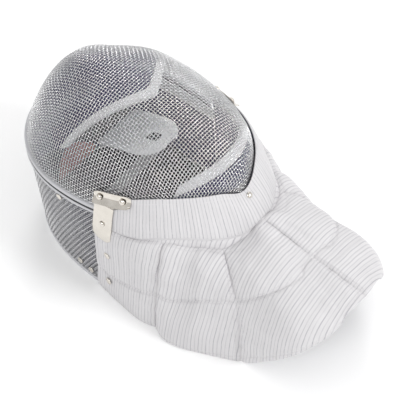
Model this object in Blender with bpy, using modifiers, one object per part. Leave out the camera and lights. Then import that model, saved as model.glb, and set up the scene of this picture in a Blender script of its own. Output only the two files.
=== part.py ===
"""Fencing mask lying on its back: wire face, side mesh, bindings, cheek brackets, collar, quilted bib, lining.

Units are metres and +Z is up. The mask rests on its rear rim, face up, with the crown towards +Y and the
bib towards -Y. The origin is on the table under the middle of the whole mask.
"""
import math

import bmesh
import bpy
from mathutils import Vector

MM = 0.001

# Face mesh: a dome over an egg-shaped joint line
FACE_HALF_WIDTH = 92.2 * MM
CROWN_REACH = 94.0 * MM
CHIN_REACH = 154.9 * MM
FACE_RISE = 99.8 * MM
CROWN_PLAN_POWER = 2.38
CHIN_PLAN_POWER = 2.04
JOINT_HEIGHT = 119.5 * MM
JOINT_CHIN_LIFT = 27.7 * MM
WIRE_MESH_THICKNESS = 2.0 * MM

# Rear rim, on which the mask lies
RIM_HALF_WIDTH = 94.5 * MM
RIM_CROWN_REACH = 140.0 * MM
RIM_WIDEST_BEHIND_FACE = -50.8 * MM
RIM_PLAN_POWER = 2.4
RIM_BINDING_HEIGHT = 4.0 * MM
RIM_BINDING_THICKNESS = 3.6 * MM

# Edge bindings of the two meshes, with the open groove between them
FACE_BINDING_HEIGHT = 5.8 * MM
SIDE_BINDING_HEIGHT = 4.6 * MM
BINDING_THICKNESS = 4.8 * MM
BINDING_LIP = 1.6 * MM
BINDING_CLEARANCE = 1.5 * MM
GROOVE_WIDTH = 1.9 * MM

# Collar and bib
BIB_THICKNESS = 1.8 * MM
HEM_LIFT = 0.4 * MM
CHEEK_LINE = -43.3 * MM
CHEEK_OVERLAP = 6.0 * MM
BIB_LENGTH = 125.0 * MM
BIB_HALF_WIDTH = 98.5 * MM
SEAM_HEIGHT = 126.0 * MM
SEAM_CHIN_STANDOFF = 24.8 * MM
QUILT_PUFF = 5.0 * MM
COLLAR_BULGE = 2.5 * MM
CROSS_SEAM = 0.53

# Cheek brackets and fasteners
PLATE_THICKNESS = 1.2 * MM
PLATE_FLARE = 2.0 * MM
LEG_REAR = -43.6 * MM
LEG_FRONT = -66.5 * MM
LEG_CORNER = 6.0 * MM
RIVET_RADIUS = 3.2 * MM
RIVET_RISE = 1.9 * MM
CLOTH_RIVET_RADIUS = 4.0 * MM
CLOTH_RIVET_RISE = 1.5 * MM
STUD_RADIUS = 3.6 * MM
STUD_RISE = 1.0 * MM
RIVET_SEAT = 0.3 * MM
STUD_SEAT = 0.5 * MM

# Inside of the mask
LINING_THICKNESS = 5.0 * MM
LINING_FOOT = 10.0 * MM
TAPE_WIDTH = 11.0 * MM
TAPE_THICKNESS = 5.4 * MM
TAPE_CLEARANCE = 0.9 * MM
CROWN_LINING_HALF_WIDTH = 78.0 * MM
CROWN_LINING_EDGE = -47.7 * MM
CROWN_LINING_SWEEP = 53.0 * MM
CROWN_LINING_TURN = 26.0
CHIN_LINING_HALF_WIDTH = 52.0 * MM
CHIN_LINING_REACH = 20.2 * MM
CHIN_LINING_SWEEP = 18.0 * MM
TONGUE_WIDTH = 58.0 * MM
TONGUE_THICKNESS = 3.0 * MM
STRAP_WIDTH = 44.0 * MM
STRAP_THICKNESS = 2.4 * MM
STRAP_END_INSET = 6.15 * MM
STRAP_HEIGHT = 30.0 * MM
STRAP_SAG = 8.0 * MM

GAP = 0.35 * MM
JOINT_STEPS = 44

# The whole length from the crown binding to the bib's hem puts the origin in the middle
HEM_REACH = CHIN_REACH + SEAM_CHIN_STANDOFF + BIB_LENGTH
CHEEK_LENGTH = CHIN_REACH + SEAM_CHIN_STANDOFF + CHEEK_LINE
CENTRE_SHIFT = (HEM_REACH - CROWN_REACH - BINDING_THICKNESS / 2) / 2

# Place on the table under the chin, which the bib's outer side faces away from
BIB_INSIDE = Vector((0.0, CENTRE_SHIFT - CHIN_REACH, 0.0))

# Layers on the face mesh, from its middle surface out: the collar's middle, then the bracket's middle
COLLAR_STANDOFF = (WIRE_MESH_THICKNESS + BIB_THICKNESS) / 2 + GAP
PLATE_STANDOFF = COLLAR_STANDOFF + (BIB_THICKNESS + PLATE_THICKNESS) / 2 + GAP
LEG_STANDOFF = (BIB_THICKNESS + PLATE_THICKNESS) / 2 + 2 * GAP

# Depth of the lining's middle under the mesh, which grows at the bindings
LINING_DEPTH = (WIRE_MESH_THICKNESS + TAPE_THICKNESS) / 2 + 3 * GAP
BINDING_DEPTH = (BINDING_THICKNESS + LINING_THICKNESS) / 2 + 2 * GAP

# Face dome, by the direction seen from above: 90 is the crown and -90 the chin
FACE_FORM = (
    # direction, wall power, top power
    {"direction": -90, "wall": 2.57, "top": 2.51},
    {"direction": -45, "wall": 2.20, "top": 2.09},
    {"direction": 0, "wall": 1.72, "top": 2.00},
    {"direction": 45, "wall": 1.25, "top": 1.95},
    {"direction": 90, "wall": 1.73, "top": 2.49},
)

# Collar and bib, from the cheek to the middle. Across is a share of BIB_HALF_WIDTH, and up of SEAM_HEIGHT.
# Ahead is counted from the chin seam: a share of BIB_LENGTH in front of it, or of CHEEK_LENGTH behind it.
# The collar's edge is a direction on the face and a share of FACE_RISE. Round is the rib's squareness.
BIB_RIBS = (
    {"edge_direction": -26.0, "edge_level": 0.07, "seam_across": 0.968, "seam_ahead": -0.9989, "seam_up": 0.830,
     "hem_across": 0.990, "hem_ahead": -0.9971, "round": 1.0, "panel": 0.0},
    {"edge_direction": -36.0, "edge_level": 0.22, "seam_across": 0.915, "seam_ahead": -0.6736, "seam_up": 0.865,
     "hem_across": 1.045, "hem_ahead": -0.5865, "round": 1.5, "panel": 1.0},
    {"edge_direction": -53.0, "edge_level": 0.325, "seam_across": 0.785, "seam_ahead": -0.4490, "seam_up": 0.915,
     "hem_across": 1.030, "hem_ahead": -0.3986, "round": 1.55, "panel": 0.0},
    {"edge_direction": -62.5, "edge_level": 0.350, "seam_across": 0.640, "seam_ahead": -0.2749, "seam_up": 0.905,
     "hem_across": 1.050, "hem_ahead": -0.1833, "round": 1.3, "panel": 0.60},
    {"edge_direction": -71.0, "edge_level": 0.340, "seam_across": 0.460, "seam_ahead": -0.1008, "seam_up": 0.895,
     "hem_across": 0.795, "hem_ahead": 0.300, "round": 2.05, "panel": 0.0},
    {"edge_direction": -80.5, "edge_level": 0.275, "seam_across": 0.220, "seam_ahead": -0.0183, "seam_up": 0.935,
     "hem_across": 0.600, "hem_ahead": 0.800, "hem_up": 0.520, "round": 2.2, "panel": 1.0},
    {"edge_direction": -90.0, "edge_level": 0.090, "seam_across": 0.000, "seam_ahead": 0.000, "seam_up": 1.000,
     "hem_across": 0.000, "hem_ahead": 1.000, "hem_up": 0.860, "round": 1.0, "panel": 0.0},
)

# Bracket plate on the face mesh, from rear to front: direction on the face and shares of FACE_RISE
BRACKET_PLATE = (
    {"direction": -26.0, "top": 0.260, "bottom": 0.165},
    {"direction": -28.5, "top": 0.285, "bottom": 0.165},
    {"direction": -31.2, "top": 0.295, "bottom": 0.170},
    {"direction": -33.8, "top": 0.300, "bottom": 0.175},
    {"direction": -36.5, "top": 0.305, "bottom": 0.180},
    {"direction": -39.2, "top": 0.310, "bottom": 0.182},
    {"direction": -42.0, "top": 0.315, "bottom": 0.190},
    {"direction": -44.7, "top": 0.318, "bottom": 0.200},
    {"direction": -46.6, "top": 0.305, "bottom": 0.225},
)
LEG_COLUMNS = 6
LEG_RIVET_ROW = 2

# Heights of the bracket leg's rows, from top to bottom, as shares of JOINT_HEIGHT
BRACKET_LEG = ({"up": 1.149}, {"up": 1.075}, {"up": 0.981}, {"up": 0.896}, {"up": 0.812}, {"up": 0.743})

# Rivets through the bracket plate, on the bib and on the side mesh
PLATE_RIVETS = ({"column": 1.5, "down": 0.46}, {"column": 6.2, "down": 0.47})
BIB_RIVETS = ({"rib": 0.34, "share": 0.41}, {"rib": 0.34, "share": 0.74})
CHIN_RIVET_DOWN = 0.17
MESH_STUDS = (
    {"behind": 0.06, "down": 0.13},
    {"behind": -0.17, "down": 0.885},
    {"behind": -0.34, "down": 0.905},
)

# Middle line of the tongue behind the head: behind is a share of RIM_CROWN_REACH, up of FACE_RISE
TONGUE_LINE = (
    {"behind": 0.898, "up": 0.12},
    {"behind": 0.875, "up": 0.40},
    {"behind": 0.800, "up": 0.72},
    {"behind": 0.690, "up": 1.00},
    {"behind": 0.480, "up": 1.22},
    {"behind": 0.220, "up": 1.39},
    {"behind": -0.080, "up": 1.53},
)

MATERIALS = {
    "steel_wire": ((0.55, 0.56, 0.58), 0.35, 1.0),
    "binding_grey": ((0.68, 0.68, 0.70), 0.5, 0.0),
    "lame_cloth": ((0.72, 0.71, 0.72), 0.6, 0.0),
    "nickel": ((0.72, 0.68, 0.62), 0.28, 1.0),
    "lining_navy": ((0.02, 0.02, 0.05), 0.9, 0.0),
    "white_tape": ((0.66, 0.66, 0.66), 0.8, 0.0),
    "tongue_vinyl": ((0.60, 0.30, 0.30), 0.5, 0.0),
    "strap_webbing": ((0.45, 0.45, 0.47), 0.8, 0.0),
}


def clear_scene():
    for old in list(bpy.data.objects):
        bpy.data.objects.remove(old)


def material(name):
    found = bpy.data.materials.get(name)
    if found:
        return found
    colour, roughness, metallic = MATERIALS[name]
    made = bpy.data.materials.new(name)
    made.use_nodes = True
    shader = made.node_tree.nodes["Principled BSDF"]
    shader.inputs["Base Color"].default_value = (*colour, 1.0)
    shader.inputs["Roughness"].default_value = roughness
    shader.inputs["Metallic"].default_value = metallic
    return made


def parts_collection():
    name = "fencing_mask"
    found = bpy.data.collections.get(name)
    if not found:
        found = bpy.data.collections.new(name)
        bpy.context.scene.collection.children.link(found)
    return found


def add_object(name, mesh, finish):
    made = bpy.data.objects.new(name, mesh)
    parts_collection().objects.link(made)
    made.data.materials.append(material(finish))
    return made


def smooth(mesh, angle=35):
    mesh.shade_smooth()
    mesh.set_sharp_from_angle(angle=math.radians(angle))


def solidify(made, thickness, even=True):
    shell = made.modifiers.new("Wall", "SOLIDIFY")
    shell.thickness = thickness
    shell.offset = 0.0
    shell.use_even_offset = even
    return shell


def hermite(before, start, end, after, share):
    """Smooth curve from start to end, with its slopes set by the values on either side."""
    slope_in = (end - before) / 2
    slope_out = (after - start) / 2
    square, cube = share * share, share * share * share
    return ((2 * cube - 3 * square + 1) * start + (cube - 2 * square + share) * slope_in
            + (3 * square - 2 * cube) * end + (cube - square) * slope_out)


def blend_column(values, position, before_first, after_last):
    """Value at a position counted in rows, on a smooth curve through all the rows."""
    last = len(values) - 1
    row = min(max(int(position), 0), last - 1)
    before = values[row - 1] if row > 0 else before_first
    after = values[row + 2] if row + 2 <= last else after_last
    return hermite(before, values[row], values[row + 1], after, position - row)


def form_at(direction, column):
    """Power of the face dome in a direction, from the table of its five main directions."""
    values = [row[column] for row in FACE_FORM]
    step = FACE_FORM[1]["direction"] - FACE_FORM[0]["direction"]
    return blend_column(values, (direction - FACE_FORM[0]["direction"]) / step, values[1], values[-2])


def plan_radius(direction, half_width, crown_reach, chin_reach, crown_power, chin_power):
    """Distance from the widest section's middle to an egg-shaped line, seen from above."""
    angle = math.radians(direction)
    behind = direction > 0
    reach = crown_reach if behind else chin_reach
    power = crown_power if behind else chin_power
    across = abs(math.cos(angle)) / half_width
    along = abs(math.sin(angle)) / reach
    return (across ** power + along ** power) ** (-1 / power)


def joint_height(along):
    """Height of the joint line at a distance along Y from the widest section."""
    return JOINT_HEIGHT + JOINT_CHIN_LIFT * (along / CHIN_REACH) ** 2


def face_point(direction, level, side=-1):
    """Point on the face dome. Direction runs from -90 at the chin to 90 at the crown, level from 0 to 1."""
    wall = form_at(direction, "wall")
    top = form_at(direction, "top")
    level = min(max(level, 0.0), 1.0)
    shrink = max(1.0 - level ** wall, 0.0) ** (1 / top)
    radius = shrink * plan_radius(direction, FACE_HALF_WIDTH, CROWN_REACH, CHIN_REACH,
                                  CROWN_PLAN_POWER, CHIN_PLAN_POWER)
    angle = math.radians(direction)
    along = radius * math.sin(angle)
    height = joint_height(along) * (1 - level) + (JOINT_HEIGHT + FACE_RISE) * level
    return Vector((side * radius * math.cos(angle), along + CENTRE_SHIFT, height))


def face_normal(direction, level, side=-1):
    """Outward direction of the face dome."""
    step = 0.5
    rise = 0.004
    low = max(level - rise, 0.0)
    high = min(level + rise, 0.999)
    first = face_point(min(direction + step, 90), level, side) - face_point(max(direction - step, -90), level, side)
    second = face_point(direction, high, side) - face_point(direction, low, side)
    normal = first.cross(second).normalized()
    outward = Vector((side * math.cos(math.radians(direction)), math.sin(math.radians(direction)), 0.6))
    return normal if normal.dot(outward) > 0 else -normal


def outside_face(direction, level, distance, side=-1):
    return face_point(direction, level, side) + face_normal(direction, level, side) * distance


def joint_path(start, end, count):
    """Points on the joint line with their outward directions, for directions from start round to end.

    Directions past 90 are on the other side of the crown.
    """
    path = []
    for step in range(count + 1):
        turn = start + (end - start) * step / count
        side = -1 if turn <= 90 else 1
        direction = turn if turn <= 90 else 180 - turn
        path.append(face_point(direction, 0.0, side))
    return path


def rim_point(turn):
    """Point on the rear rim at table height. Turn is 0 at the near side, 90 at the crown, 180 at the far side."""
    side = -1 if turn <= 90 else 1
    direction = turn if turn <= 90 else 180 - turn
    radius = plan_radius(direction, RIM_HALF_WIDTH, RIM_CROWN_REACH, RIM_CROWN_REACH,
                         RIM_PLAN_POWER, RIM_PLAN_POWER)
    angle = math.radians(direction)
    return Vector((side * radius * math.cos(angle),
                   radius * math.sin(angle) + RIM_WIDEST_BEHIND_FACE + CENTRE_SHIFT, 0.0))


def turn_at(point_of, along, low=-60.0, high=60.0):
    """Turn at which a plan line reaches a distance along Y from the widest section."""
    for _ in range(40):
        middle = (low + high) / 2
        if point_of(middle).y - CENTRE_SHIFT < along:
            low = middle
        else:
            high = middle
    return (low + high) / 2


def plan_normals(path):
    """Level directions square to an open path, pointing away from the mask's middle."""
    normals = []
    for index in range(len(path)):
        ahead = path[min(index + 1, len(path) - 1)]
        behind = path[max(index - 1, 0)]
        tangent = ahead - behind
        normals.append(Vector((-tangent.y, tangent.x, 0.0)).normalized())
    return normals


def grid_mesh(name, rows, closed=False, pole=None):
    """Open surface through rows of points, each row with as many points as the others."""
    builder = bmesh.new()
    lines = [[builder.verts.new(point) for point in row] for row in rows]
    count = len(rows[0])
    last = count if closed else count - 1
    for upper, lower in zip(lines, lines[1:]):
        for index in range(last):
            after = (index + 1) % count
            builder.faces.new((upper[index], upper[after], lower[after], lower[index]))
    if pole is not None:
        tip = builder.verts.new(pole)
        for index in range(last):
            builder.faces.new((lines[-1][index], lines[-1][(index + 1) % count], tip))
    bmesh.ops.recalc_face_normals(builder, faces=builder.faces)
    mesh = bpy.data.meshes.new(name)
    builder.to_mesh(mesh)
    builder.free()
    return mesh


def sweep_mesh(name, path, sideways, upwards, section):
    """Closed bar: a flat section of (side, up) pairs carried along an open path."""
    builder = bmesh.new()
    rings = []
    for point, side, up in zip(path, sideways, upwards):
        rings.append([builder.verts.new(point + side * across + up * rise) for across, rise in section])
    count = len(section)
    for first, second in zip(rings, rings[1:]):
        for index in range(count):
            after = (index + 1) % count
            builder.faces.new((first[index], first[after], second[after], second[index]))
    builder.faces.new(rings[0])
    builder.faces.new(list(reversed(rings[-1])))
    bmesh.ops.recalc_face_normals(builder, faces=builder.faces)
    mesh = bpy.data.meshes.new(name)
    builder.to_mesh(mesh)
    builder.free()
    return mesh


# Face and side meshes with their bindings

def build_front_mesh():
    around = 52
    levels = 9
    base = (FACE_BINDING_HEIGHT / 2 + WIRE_MESH_THICKNESS / 2 + GAP) / FACE_RISE
    rows = []
    for step in range(levels):
        level = base + (1 - base) * math.sin(math.pi / 2 * step / levels)
        row = []
        for index in range(around):
            turn = -90 + 360 * index / around
            side = -1 if turn <= 90 else 1
            direction = turn if turn <= 90 else 180 - turn
            row.append(face_point(direction, level, side))
        rows.append(row)
    mesh = grid_mesh("front_mesh", rows, closed=True, pole=face_point(90, 1.0))
    smooth(mesh)
    made = add_object("front_mesh", mesh, "steel_wire")
    solidify(made, WIRE_MESH_THICKNESS)


def joint_bar(name, section, finish, along_start):
    """Bar along the joint line from one cheek over the crown to the other."""
    start = turn_at(lambda turn: face_point(turn, 0.0), along_start, -85.0, 40.0)
    path = joint_path(start, 180 - start, JOINT_STEPS)
    up = Vector((0, 0, 1))
    mesh = sweep_mesh(name, path, plan_normals(path), [up] * len(path), section)
    smooth(mesh)
    return add_object(name, mesh, finish)


def binding_start():
    """The bindings stop just behind the rear edge of the collar."""
    return CHEEK_LINE + BINDING_CLEARANCE


def build_bindings():
    half = FACE_BINDING_HEIGHT / 2
    inner = -BINDING_THICKNESS / 2
    outer = BINDING_THICKNESS / 2
    round_off = 0.9 * MM
    lip_end = -half - GROOVE_WIDTH + GAP
    face_section = (
        (inner, lip_end), (inner + BINDING_LIP, lip_end), (inner + BINDING_LIP, -half),
        (outer - round_off, -half), (outer, -half + round_off), (outer, half - round_off),
        (outer - round_off, half), (inner, half),
    )
    joint_bar("front_binding", face_section, "binding_grey", binding_start())
    top = -half - GROOVE_WIDTH
    bottom = top - SIDE_BINDING_HEIGHT
    side_section = (
        (inner, bottom), (outer - round_off, bottom), (outer, bottom + round_off),
        (outer, top - round_off), (outer - round_off, top), (inner, top),
    )
    joint_bar("side_binding", side_section, "binding_grey", binding_start())


def side_mesh_rows(start_along, rows_count=5, steps=44):
    """Rows of points from the side binding down to the rear binding."""
    start_top = turn_at(lambda turn: face_point(turn, 0.0), start_along, -85.0, 40.0)
    start_low = turn_at(rim_point, start_along)
    drop = FACE_BINDING_HEIGHT / 2 + GROOVE_WIDTH + SIDE_BINDING_HEIGHT + GAP + WIRE_MESH_THICKNESS / 4
    foot = RIM_BINDING_HEIGHT + GAP + WIRE_MESH_THICKNESS / 4
    top_path = joint_path(start_top, 180 - start_top, steps)
    rows = []
    for row in range(rows_count):
        share = row / (rows_count - 1)
        line = []
        for index, top in enumerate(top_path):
            low = rim_point(start_low + (180 - 2 * start_low) * index / steps)
            full = top.lerp(low, share)
            height = (top.z - drop) * (1 - share) + foot * share
            line.append(Vector((full.x, full.y, height)))
        rows.append(line)
    return rows


def build_side_mesh():
    mesh = grid_mesh("side_mesh", side_mesh_rows(CHEEK_LINE - CHEEK_OVERLAP))
    smooth(mesh)
    made = add_object("side_mesh", mesh, "steel_wire")
    solidify(made, WIRE_MESH_THICKNESS)


def build_rear_binding():
    start = turn_at(rim_point, binding_start())
    steps = JOINT_STEPS
    path = [rim_point(start + (180 - 2 * start) * step / steps) for step in range(steps + 1)]
    half = RIM_BINDING_THICKNESS / 2
    round_off = 0.8 * MM
    top = RIM_BINDING_HEIGHT
    section = (
        (-half, 0.0), (half, 0.0), (half, top - round_off), (half - round_off, top),
        (-half + round_off, top), (-half, top - round_off),
    )
    up = Vector((0, 0, 1))
    mesh = sweep_mesh("rear_binding", path, plan_normals(path), [up] * len(path), section)
    smooth(mesh)
    add_object("rear_binding", mesh, "binding_grey")


# Collar and bib

def rib_value(column, position):
    """Value of a column between the ribs. Past the middle plane the other half is a mirror image."""
    values = [row.get(column, 0.0) for row in BIB_RIBS]
    crosses_over = column in ("edge_direction", "seam_across", "hem_across")
    past_middle = 2 * values[-1] - values[-2] if crosses_over else values[-2]
    return blend_column(values, position, 2 * values[0] - values[1], past_middle)


def ahead_of_seam(column, position):
    """Distance in front of the chin seam, on a smooth curve through the ribs."""
    lengths = [row[column] * (BIB_LENGTH if row[column] > 0 else CHEEK_LENGTH) for row in BIB_RIBS]
    return blend_column(lengths, position, 2 * lengths[0] - lengths[1], lengths[-2])


def seam_point(position):
    """Point on the seam between collar and bib, from 0 at the cheek to the last rib in the middle."""
    chin_seam = CENTRE_SHIFT - CHIN_REACH - SEAM_CHIN_STANDOFF
    return Vector((-BIB_HALF_WIDTH * max(rib_value("seam_across", position), 0.0),
                   chin_seam - ahead_of_seam("seam_ahead", position),
                   SEAM_HEIGHT * rib_value("seam_up", position)))


def hem_point(position):
    """Point on the bib's lower edge: on the table at the sides, arched in front."""
    chin_seam = CENTRE_SHIFT - CHIN_REACH - SEAM_CHIN_STANDOFF
    height = max(SEAM_HEIGHT * rib_value("hem_up", position), HEM_LIFT)
    return Vector((-BIB_HALF_WIDTH * max(rib_value("hem_across", position), 0.0),
                   chin_seam - ahead_of_seam("hem_ahead", position), height))


def collar_edge(position):
    """Top edge of the collar, which lies on the face mesh."""
    return outside_face(rib_value("edge_direction", position), rib_value("edge_level", position), COLLAR_STANDOFF)


def bib_spot(position, share):
    """Point on the bib between the collar seam (share 0) and the hem (share 1), before quilting."""
    top = seam_point(position)
    foot = hem_point(position)
    power = max(rib_value("round", position), 1.0)
    angle = math.pi / 2 * share
    if power < 1.02:
        outward = share
        downward = share
    else:
        blend = min((power - 1.0) / 0.5, 1.0)
        outward = (1 - blend) * share + blend * math.sin(angle) ** (2 / power)
        downward = (1 - blend) * share + blend * (1 - max(math.cos(angle), 0.0) ** (2 / power))
    return Vector((top.x + (foot.x - top.x) * outward,
                   top.y + (foot.y - top.y) * outward,
                   top.z + (foot.z - top.z) * downward))


def quilt_height(position, share):
    """Height of the padding, which is pulled down at the ribs and at the cross seam."""
    panel = max(rib_value("panel", position), 0.0)
    if share < CROSS_SEAM:
        along = math.sin(math.pi * share / CROSS_SEAM)
    else:
        along = math.sin(math.pi * (share - CROSS_SEAM) / (1 - CROSS_SEAM))
    return QUILT_PUFF * panel ** 1.2 * max(along, 0.0) ** 0.7 * min(share / 0.1, 1.0)


def bib_point(position, share):
    """Point on the quilted bib."""
    last = len(BIB_RIBS) - 1
    step = 0.02
    low, high = max(position - step, 0.0), min(position + step, last)
    near, far = max(share - step, 0.0), min(share + step, 1.0)
    across = bib_spot(high, share) - bib_spot(low, share)
    down = bib_spot(position, far) - bib_spot(position, near)
    normal = down.cross(across).normalized()
    spot = bib_spot(position, share)
    if normal.dot(spot - BIB_INSIDE) < 0:
        normal = -normal
    point = spot + normal * quilt_height(position, share)
    point.z = max(point.z, HEM_LIFT)
    if position >= last:
        point.x = 0.0
    return point


def mirrored(name, rows, finish, thickness):
    """Shell made of a half that is open at the middle plane and its mirror image."""
    mesh = grid_mesh(name, rows)
    smooth(mesh, 50)
    made = add_object(name, mesh, finish)
    mirror = made.modifiers.new("Other half", "MIRROR")
    mirror.use_axis = (True, False, False)
    mirror.merge_threshold = 0.0001
    solidify(made, thickness)
    return made


def collar_point(position, share):
    """Point on the collar between its top edge (share 0) and the bib seam (share 1)."""
    point = collar_edge(position).lerp(seam_point(position), share)
    outward = Vector((point.x, point.y - CENTRE_SHIFT, 0.0)).normalized()
    ahead = min(position / 2, 1.0)
    point += outward * COLLAR_BULGE * ahead * math.sin(math.pi * share)
    if position >= len(BIB_RIBS) - 1:
        point.x = 0.0
    return point


def build_bib():
    last = len(BIB_RIBS) - 1
    steps = 30
    collar_rows = 4
    skirt_rows = 10
    rows = []
    for row in range(collar_rows):
        rows.append([collar_point(last * step / steps, row / collar_rows) for step in range(steps + 1)])
    for row in range(skirt_rows + 1):
        rows.append([bib_point(last * step / steps, row / skirt_rows) for step in range(steps + 1)])
    mirrored("bib", rows, "lame_cloth", BIB_THICKNESS)


# Cheek brackets and fasteners

def bracket_point(column, share, side):
    """Point on the bracket plate: share 0 is its top edge and 1 its bottom edge."""
    row = BRACKET_PLATE[column]
    level = row["top"] + (row["bottom"] - row["top"]) * share
    return outside_face(row["direction"], level, PLATE_STANDOFF + PLATE_FLARE * share, side)


def bib_at_height(position, height):
    """Point of the collar or bib at a height, on one line from the collar's edge to the hem."""
    top = collar_edge(position)
    seam = seam_point(position)
    if height >= seam.z:
        return collar_point(position, max((top.z - height) / (top.z - seam.z), 0.0))
    low, high = 0.0, 1.0
    for _ in range(30):
        middle = (low + high) / 2
        if bib_spot(position, middle).z > height:
            low = middle
        else:
            high = middle
    return bib_point(position, low)


def cheek_across(along, height):
    """Distance of the bib's cheek from the middle plane, at a place along Y and a height."""
    low, high = 0.0, 2.0
    for _ in range(30):
        middle = (low + high) / 2
        if bib_at_height(middle, height).y > along:
            low = middle
        else:
            high = middle
    return abs(bib_at_height(low, height).x)


def leg_point(row, ahead, side):
    """Point on the bracket leg: ahead runs from 0 at its rear edge to 1 at its front edge."""
    along = CENTRE_SHIFT + LEG_REAR + (LEG_FRONT - LEG_REAR) * ahead
    height = JOINT_HEIGHT * BRACKET_LEG[row]["up"]
    if row == len(BRACKET_LEG) - 1:
        height += LEG_CORNER * abs(2 * ahead - 1) ** 3
    return Vector((side * (cheek_across(along, height) + LEG_STANDOFF), along, height))


def build_bracket(name, side):
    builder = bmesh.new()
    columns = len(BRACKET_PLATE)
    plate_rows = 2
    rows = []
    for row in range(plate_rows + 1):
        rows.append([bracket_point(column, row / plate_rows, side) for column in range(columns)])
    for row in range(len(BRACKET_LEG)):
        rows.append([leg_point(row, column / (LEG_COLUMNS - 1), side) for column in range(LEG_COLUMNS)])
    lines = [[builder.verts.new(point) for point in row] for row in rows]
    for upper, lower in zip(lines, lines[1:]):
        for index in range(len(lower) - 1):
            builder.faces.new((upper[index], upper[index + 1], lower[index + 1], lower[index]))
    bmesh.ops.recalc_face_normals(builder, faces=builder.faces)
    mesh = bpy.data.meshes.new(name)
    builder.to_mesh(mesh)
    builder.free()
    smooth(mesh)
    solidify(add_object(name, mesh, "nickel"), PLATE_THICKNESS)


def rivet(name, spot, outward, radius, rise):
    """Domed head on its flat seat, with its axis along the outward direction."""
    around = 10
    rings = ((1.0, 0.0), (1.0, 0.22), (0.80, 0.68), (0.42, 0.94))
    axis = outward.normalized()
    across = axis.orthogonal().normalized()
    along = axis.cross(across)
    builder = bmesh.new()
    lines = []
    for reach, height in rings:
        line = []
        for index in range(around):
            angle = 2 * math.pi * index / around
            flat = across * math.cos(angle) + along * math.sin(angle)
            line.append(builder.verts.new(spot + flat * radius * reach + axis * rise * height))
        lines.append(line)
    for lower, upper in zip(lines, lines[1:]):
        for index in range(around):
            after = (index + 1) % around
            builder.faces.new((lower[index], lower[after], upper[after], upper[index]))
    tip = builder.verts.new(spot + axis * rise)
    for index in range(around):
        builder.faces.new((lines[-1][index], lines[-1][(index + 1) % around], tip))
    builder.faces.new(list(reversed(lines[0])))
    bmesh.ops.recalc_face_normals(builder, faces=builder.faces)
    mesh = bpy.data.meshes.new(name)
    builder.to_mesh(mesh)
    builder.free()
    smooth(mesh, 50)
    add_object(name, mesh, "nickel")


def side_spot(behind, down, side):
    """Point on the side mesh at a distance behind the widest section and a share of its height down."""
    top = face_point(turn_at(lambda turn: face_point(turn, 0.0), behind, -85.0, 89.0), 0.0)
    low = rim_point(turn_at(rim_point, behind, -60.0, 89.0))
    point = top.lerp(low, down)
    return Vector((-side * point.x, point.y, point.z))


def build_fasteners(word, side):
    for number, row in enumerate(PLATE_RIVETS, 1):
        column = int(row["column"])
        part = row["column"] - column
        spot = bracket_point(column, row["down"], side).lerp(bracket_point(column + 1, row["down"], side), part)
        ahead = bracket_point(column + 1, row["down"], side) - bracket_point(column, row["down"], side)
        down = bracket_point(column, 1.0, side) - bracket_point(column, 0.0, side)
        outward = ahead.cross(down).normalized()
        if outward.x * side < 0:
            outward = -outward
        spot += outward * (PLATE_THICKNESS / 2 + STUD_SEAT)
        rivet(f"bracket_rivet_{word}_{number}", spot, outward, RIVET_RADIUS, RIVET_RISE)
    middle = (leg_point(LEG_RIVET_ROW, 0.5, side) + leg_point(LEG_RIVET_ROW + 1, 0.5, side)) / 2
    down = leg_point(LEG_RIVET_ROW + 1, 0.5, side) - leg_point(LEG_RIVET_ROW, 0.5, side)
    ahead = leg_point(LEG_RIVET_ROW, 1.0, side) - leg_point(LEG_RIVET_ROW, 0.0, side)
    outward = down.cross(ahead).normalized()
    if outward.x * side < 0:
        outward = -outward
    spot = middle + outward * (PLATE_THICKNESS / 2 + RIVET_SEAT)
    rivet(f"bracket_rivet_{word}_{len(PLATE_RIVETS) + 1}", spot, outward, RIVET_RADIUS, RIVET_RISE)
    for number, row in enumerate(BIB_RIVETS, 1):
        spot = bib_point(row["rib"], row["share"])
        ahead = bib_point(row["rib"] + 0.1, row["share"]) - bib_point(row["rib"] - 0.1, row["share"])
        down = bib_point(row["rib"], row["share"] + 0.05) - bib_point(row["rib"], row["share"] - 0.05)
        outward = ahead.cross(down).normalized()
        if outward.x > 0:
            outward = -outward
        spot += outward * (BIB_THICKNESS / 2 + 2 * RIVET_SEAT)
        flip = Vector((-side, 1, 1))
        rivet(f"bib_rivet_{word}_{number}", spot * flip, outward * flip, CLOTH_RIVET_RADIUS, CLOTH_RIVET_RISE)
    for number, row in enumerate(MESH_STUDS, 1):
        behind = row["behind"] * FACE_HALF_WIDTH
        spot = side_spot(behind, row["down"], side)
        ahead = side_spot(behind + MM, row["down"], side) - side_spot(behind - MM, row["down"], side)
        down = side_spot(behind, row["down"] + 0.05, side) - side_spot(behind, row["down"] - 0.05, side)
        outward = ahead.cross(down).normalized()
        if outward.x * side < 0:
            outward = -outward
        spot += outward * (WIRE_MESH_THICKNESS / 2 + STUD_SEAT)
        rivet(f"mesh_stud_{word}_{number}", spot, outward, STUD_RADIUS, STUD_RISE)


def build_chin_rivet():
    last = len(BIB_RIBS) - 1
    share = CHIN_RIVET_DOWN
    down = collar_point(last, share + 0.1) - collar_point(last, share - 0.1)
    outward = Vector((1, 0, 0)).cross(down).normalized()
    if outward.y > 0:
        outward = -outward
    spot = collar_point(last, share) + outward * (BIB_THICKNESS / 2 + STUD_SEAT)
    rivet("chin_rivet", spot, outward, RIVET_RADIUS, RIVET_RISE)


# Inside of the mask

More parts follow.
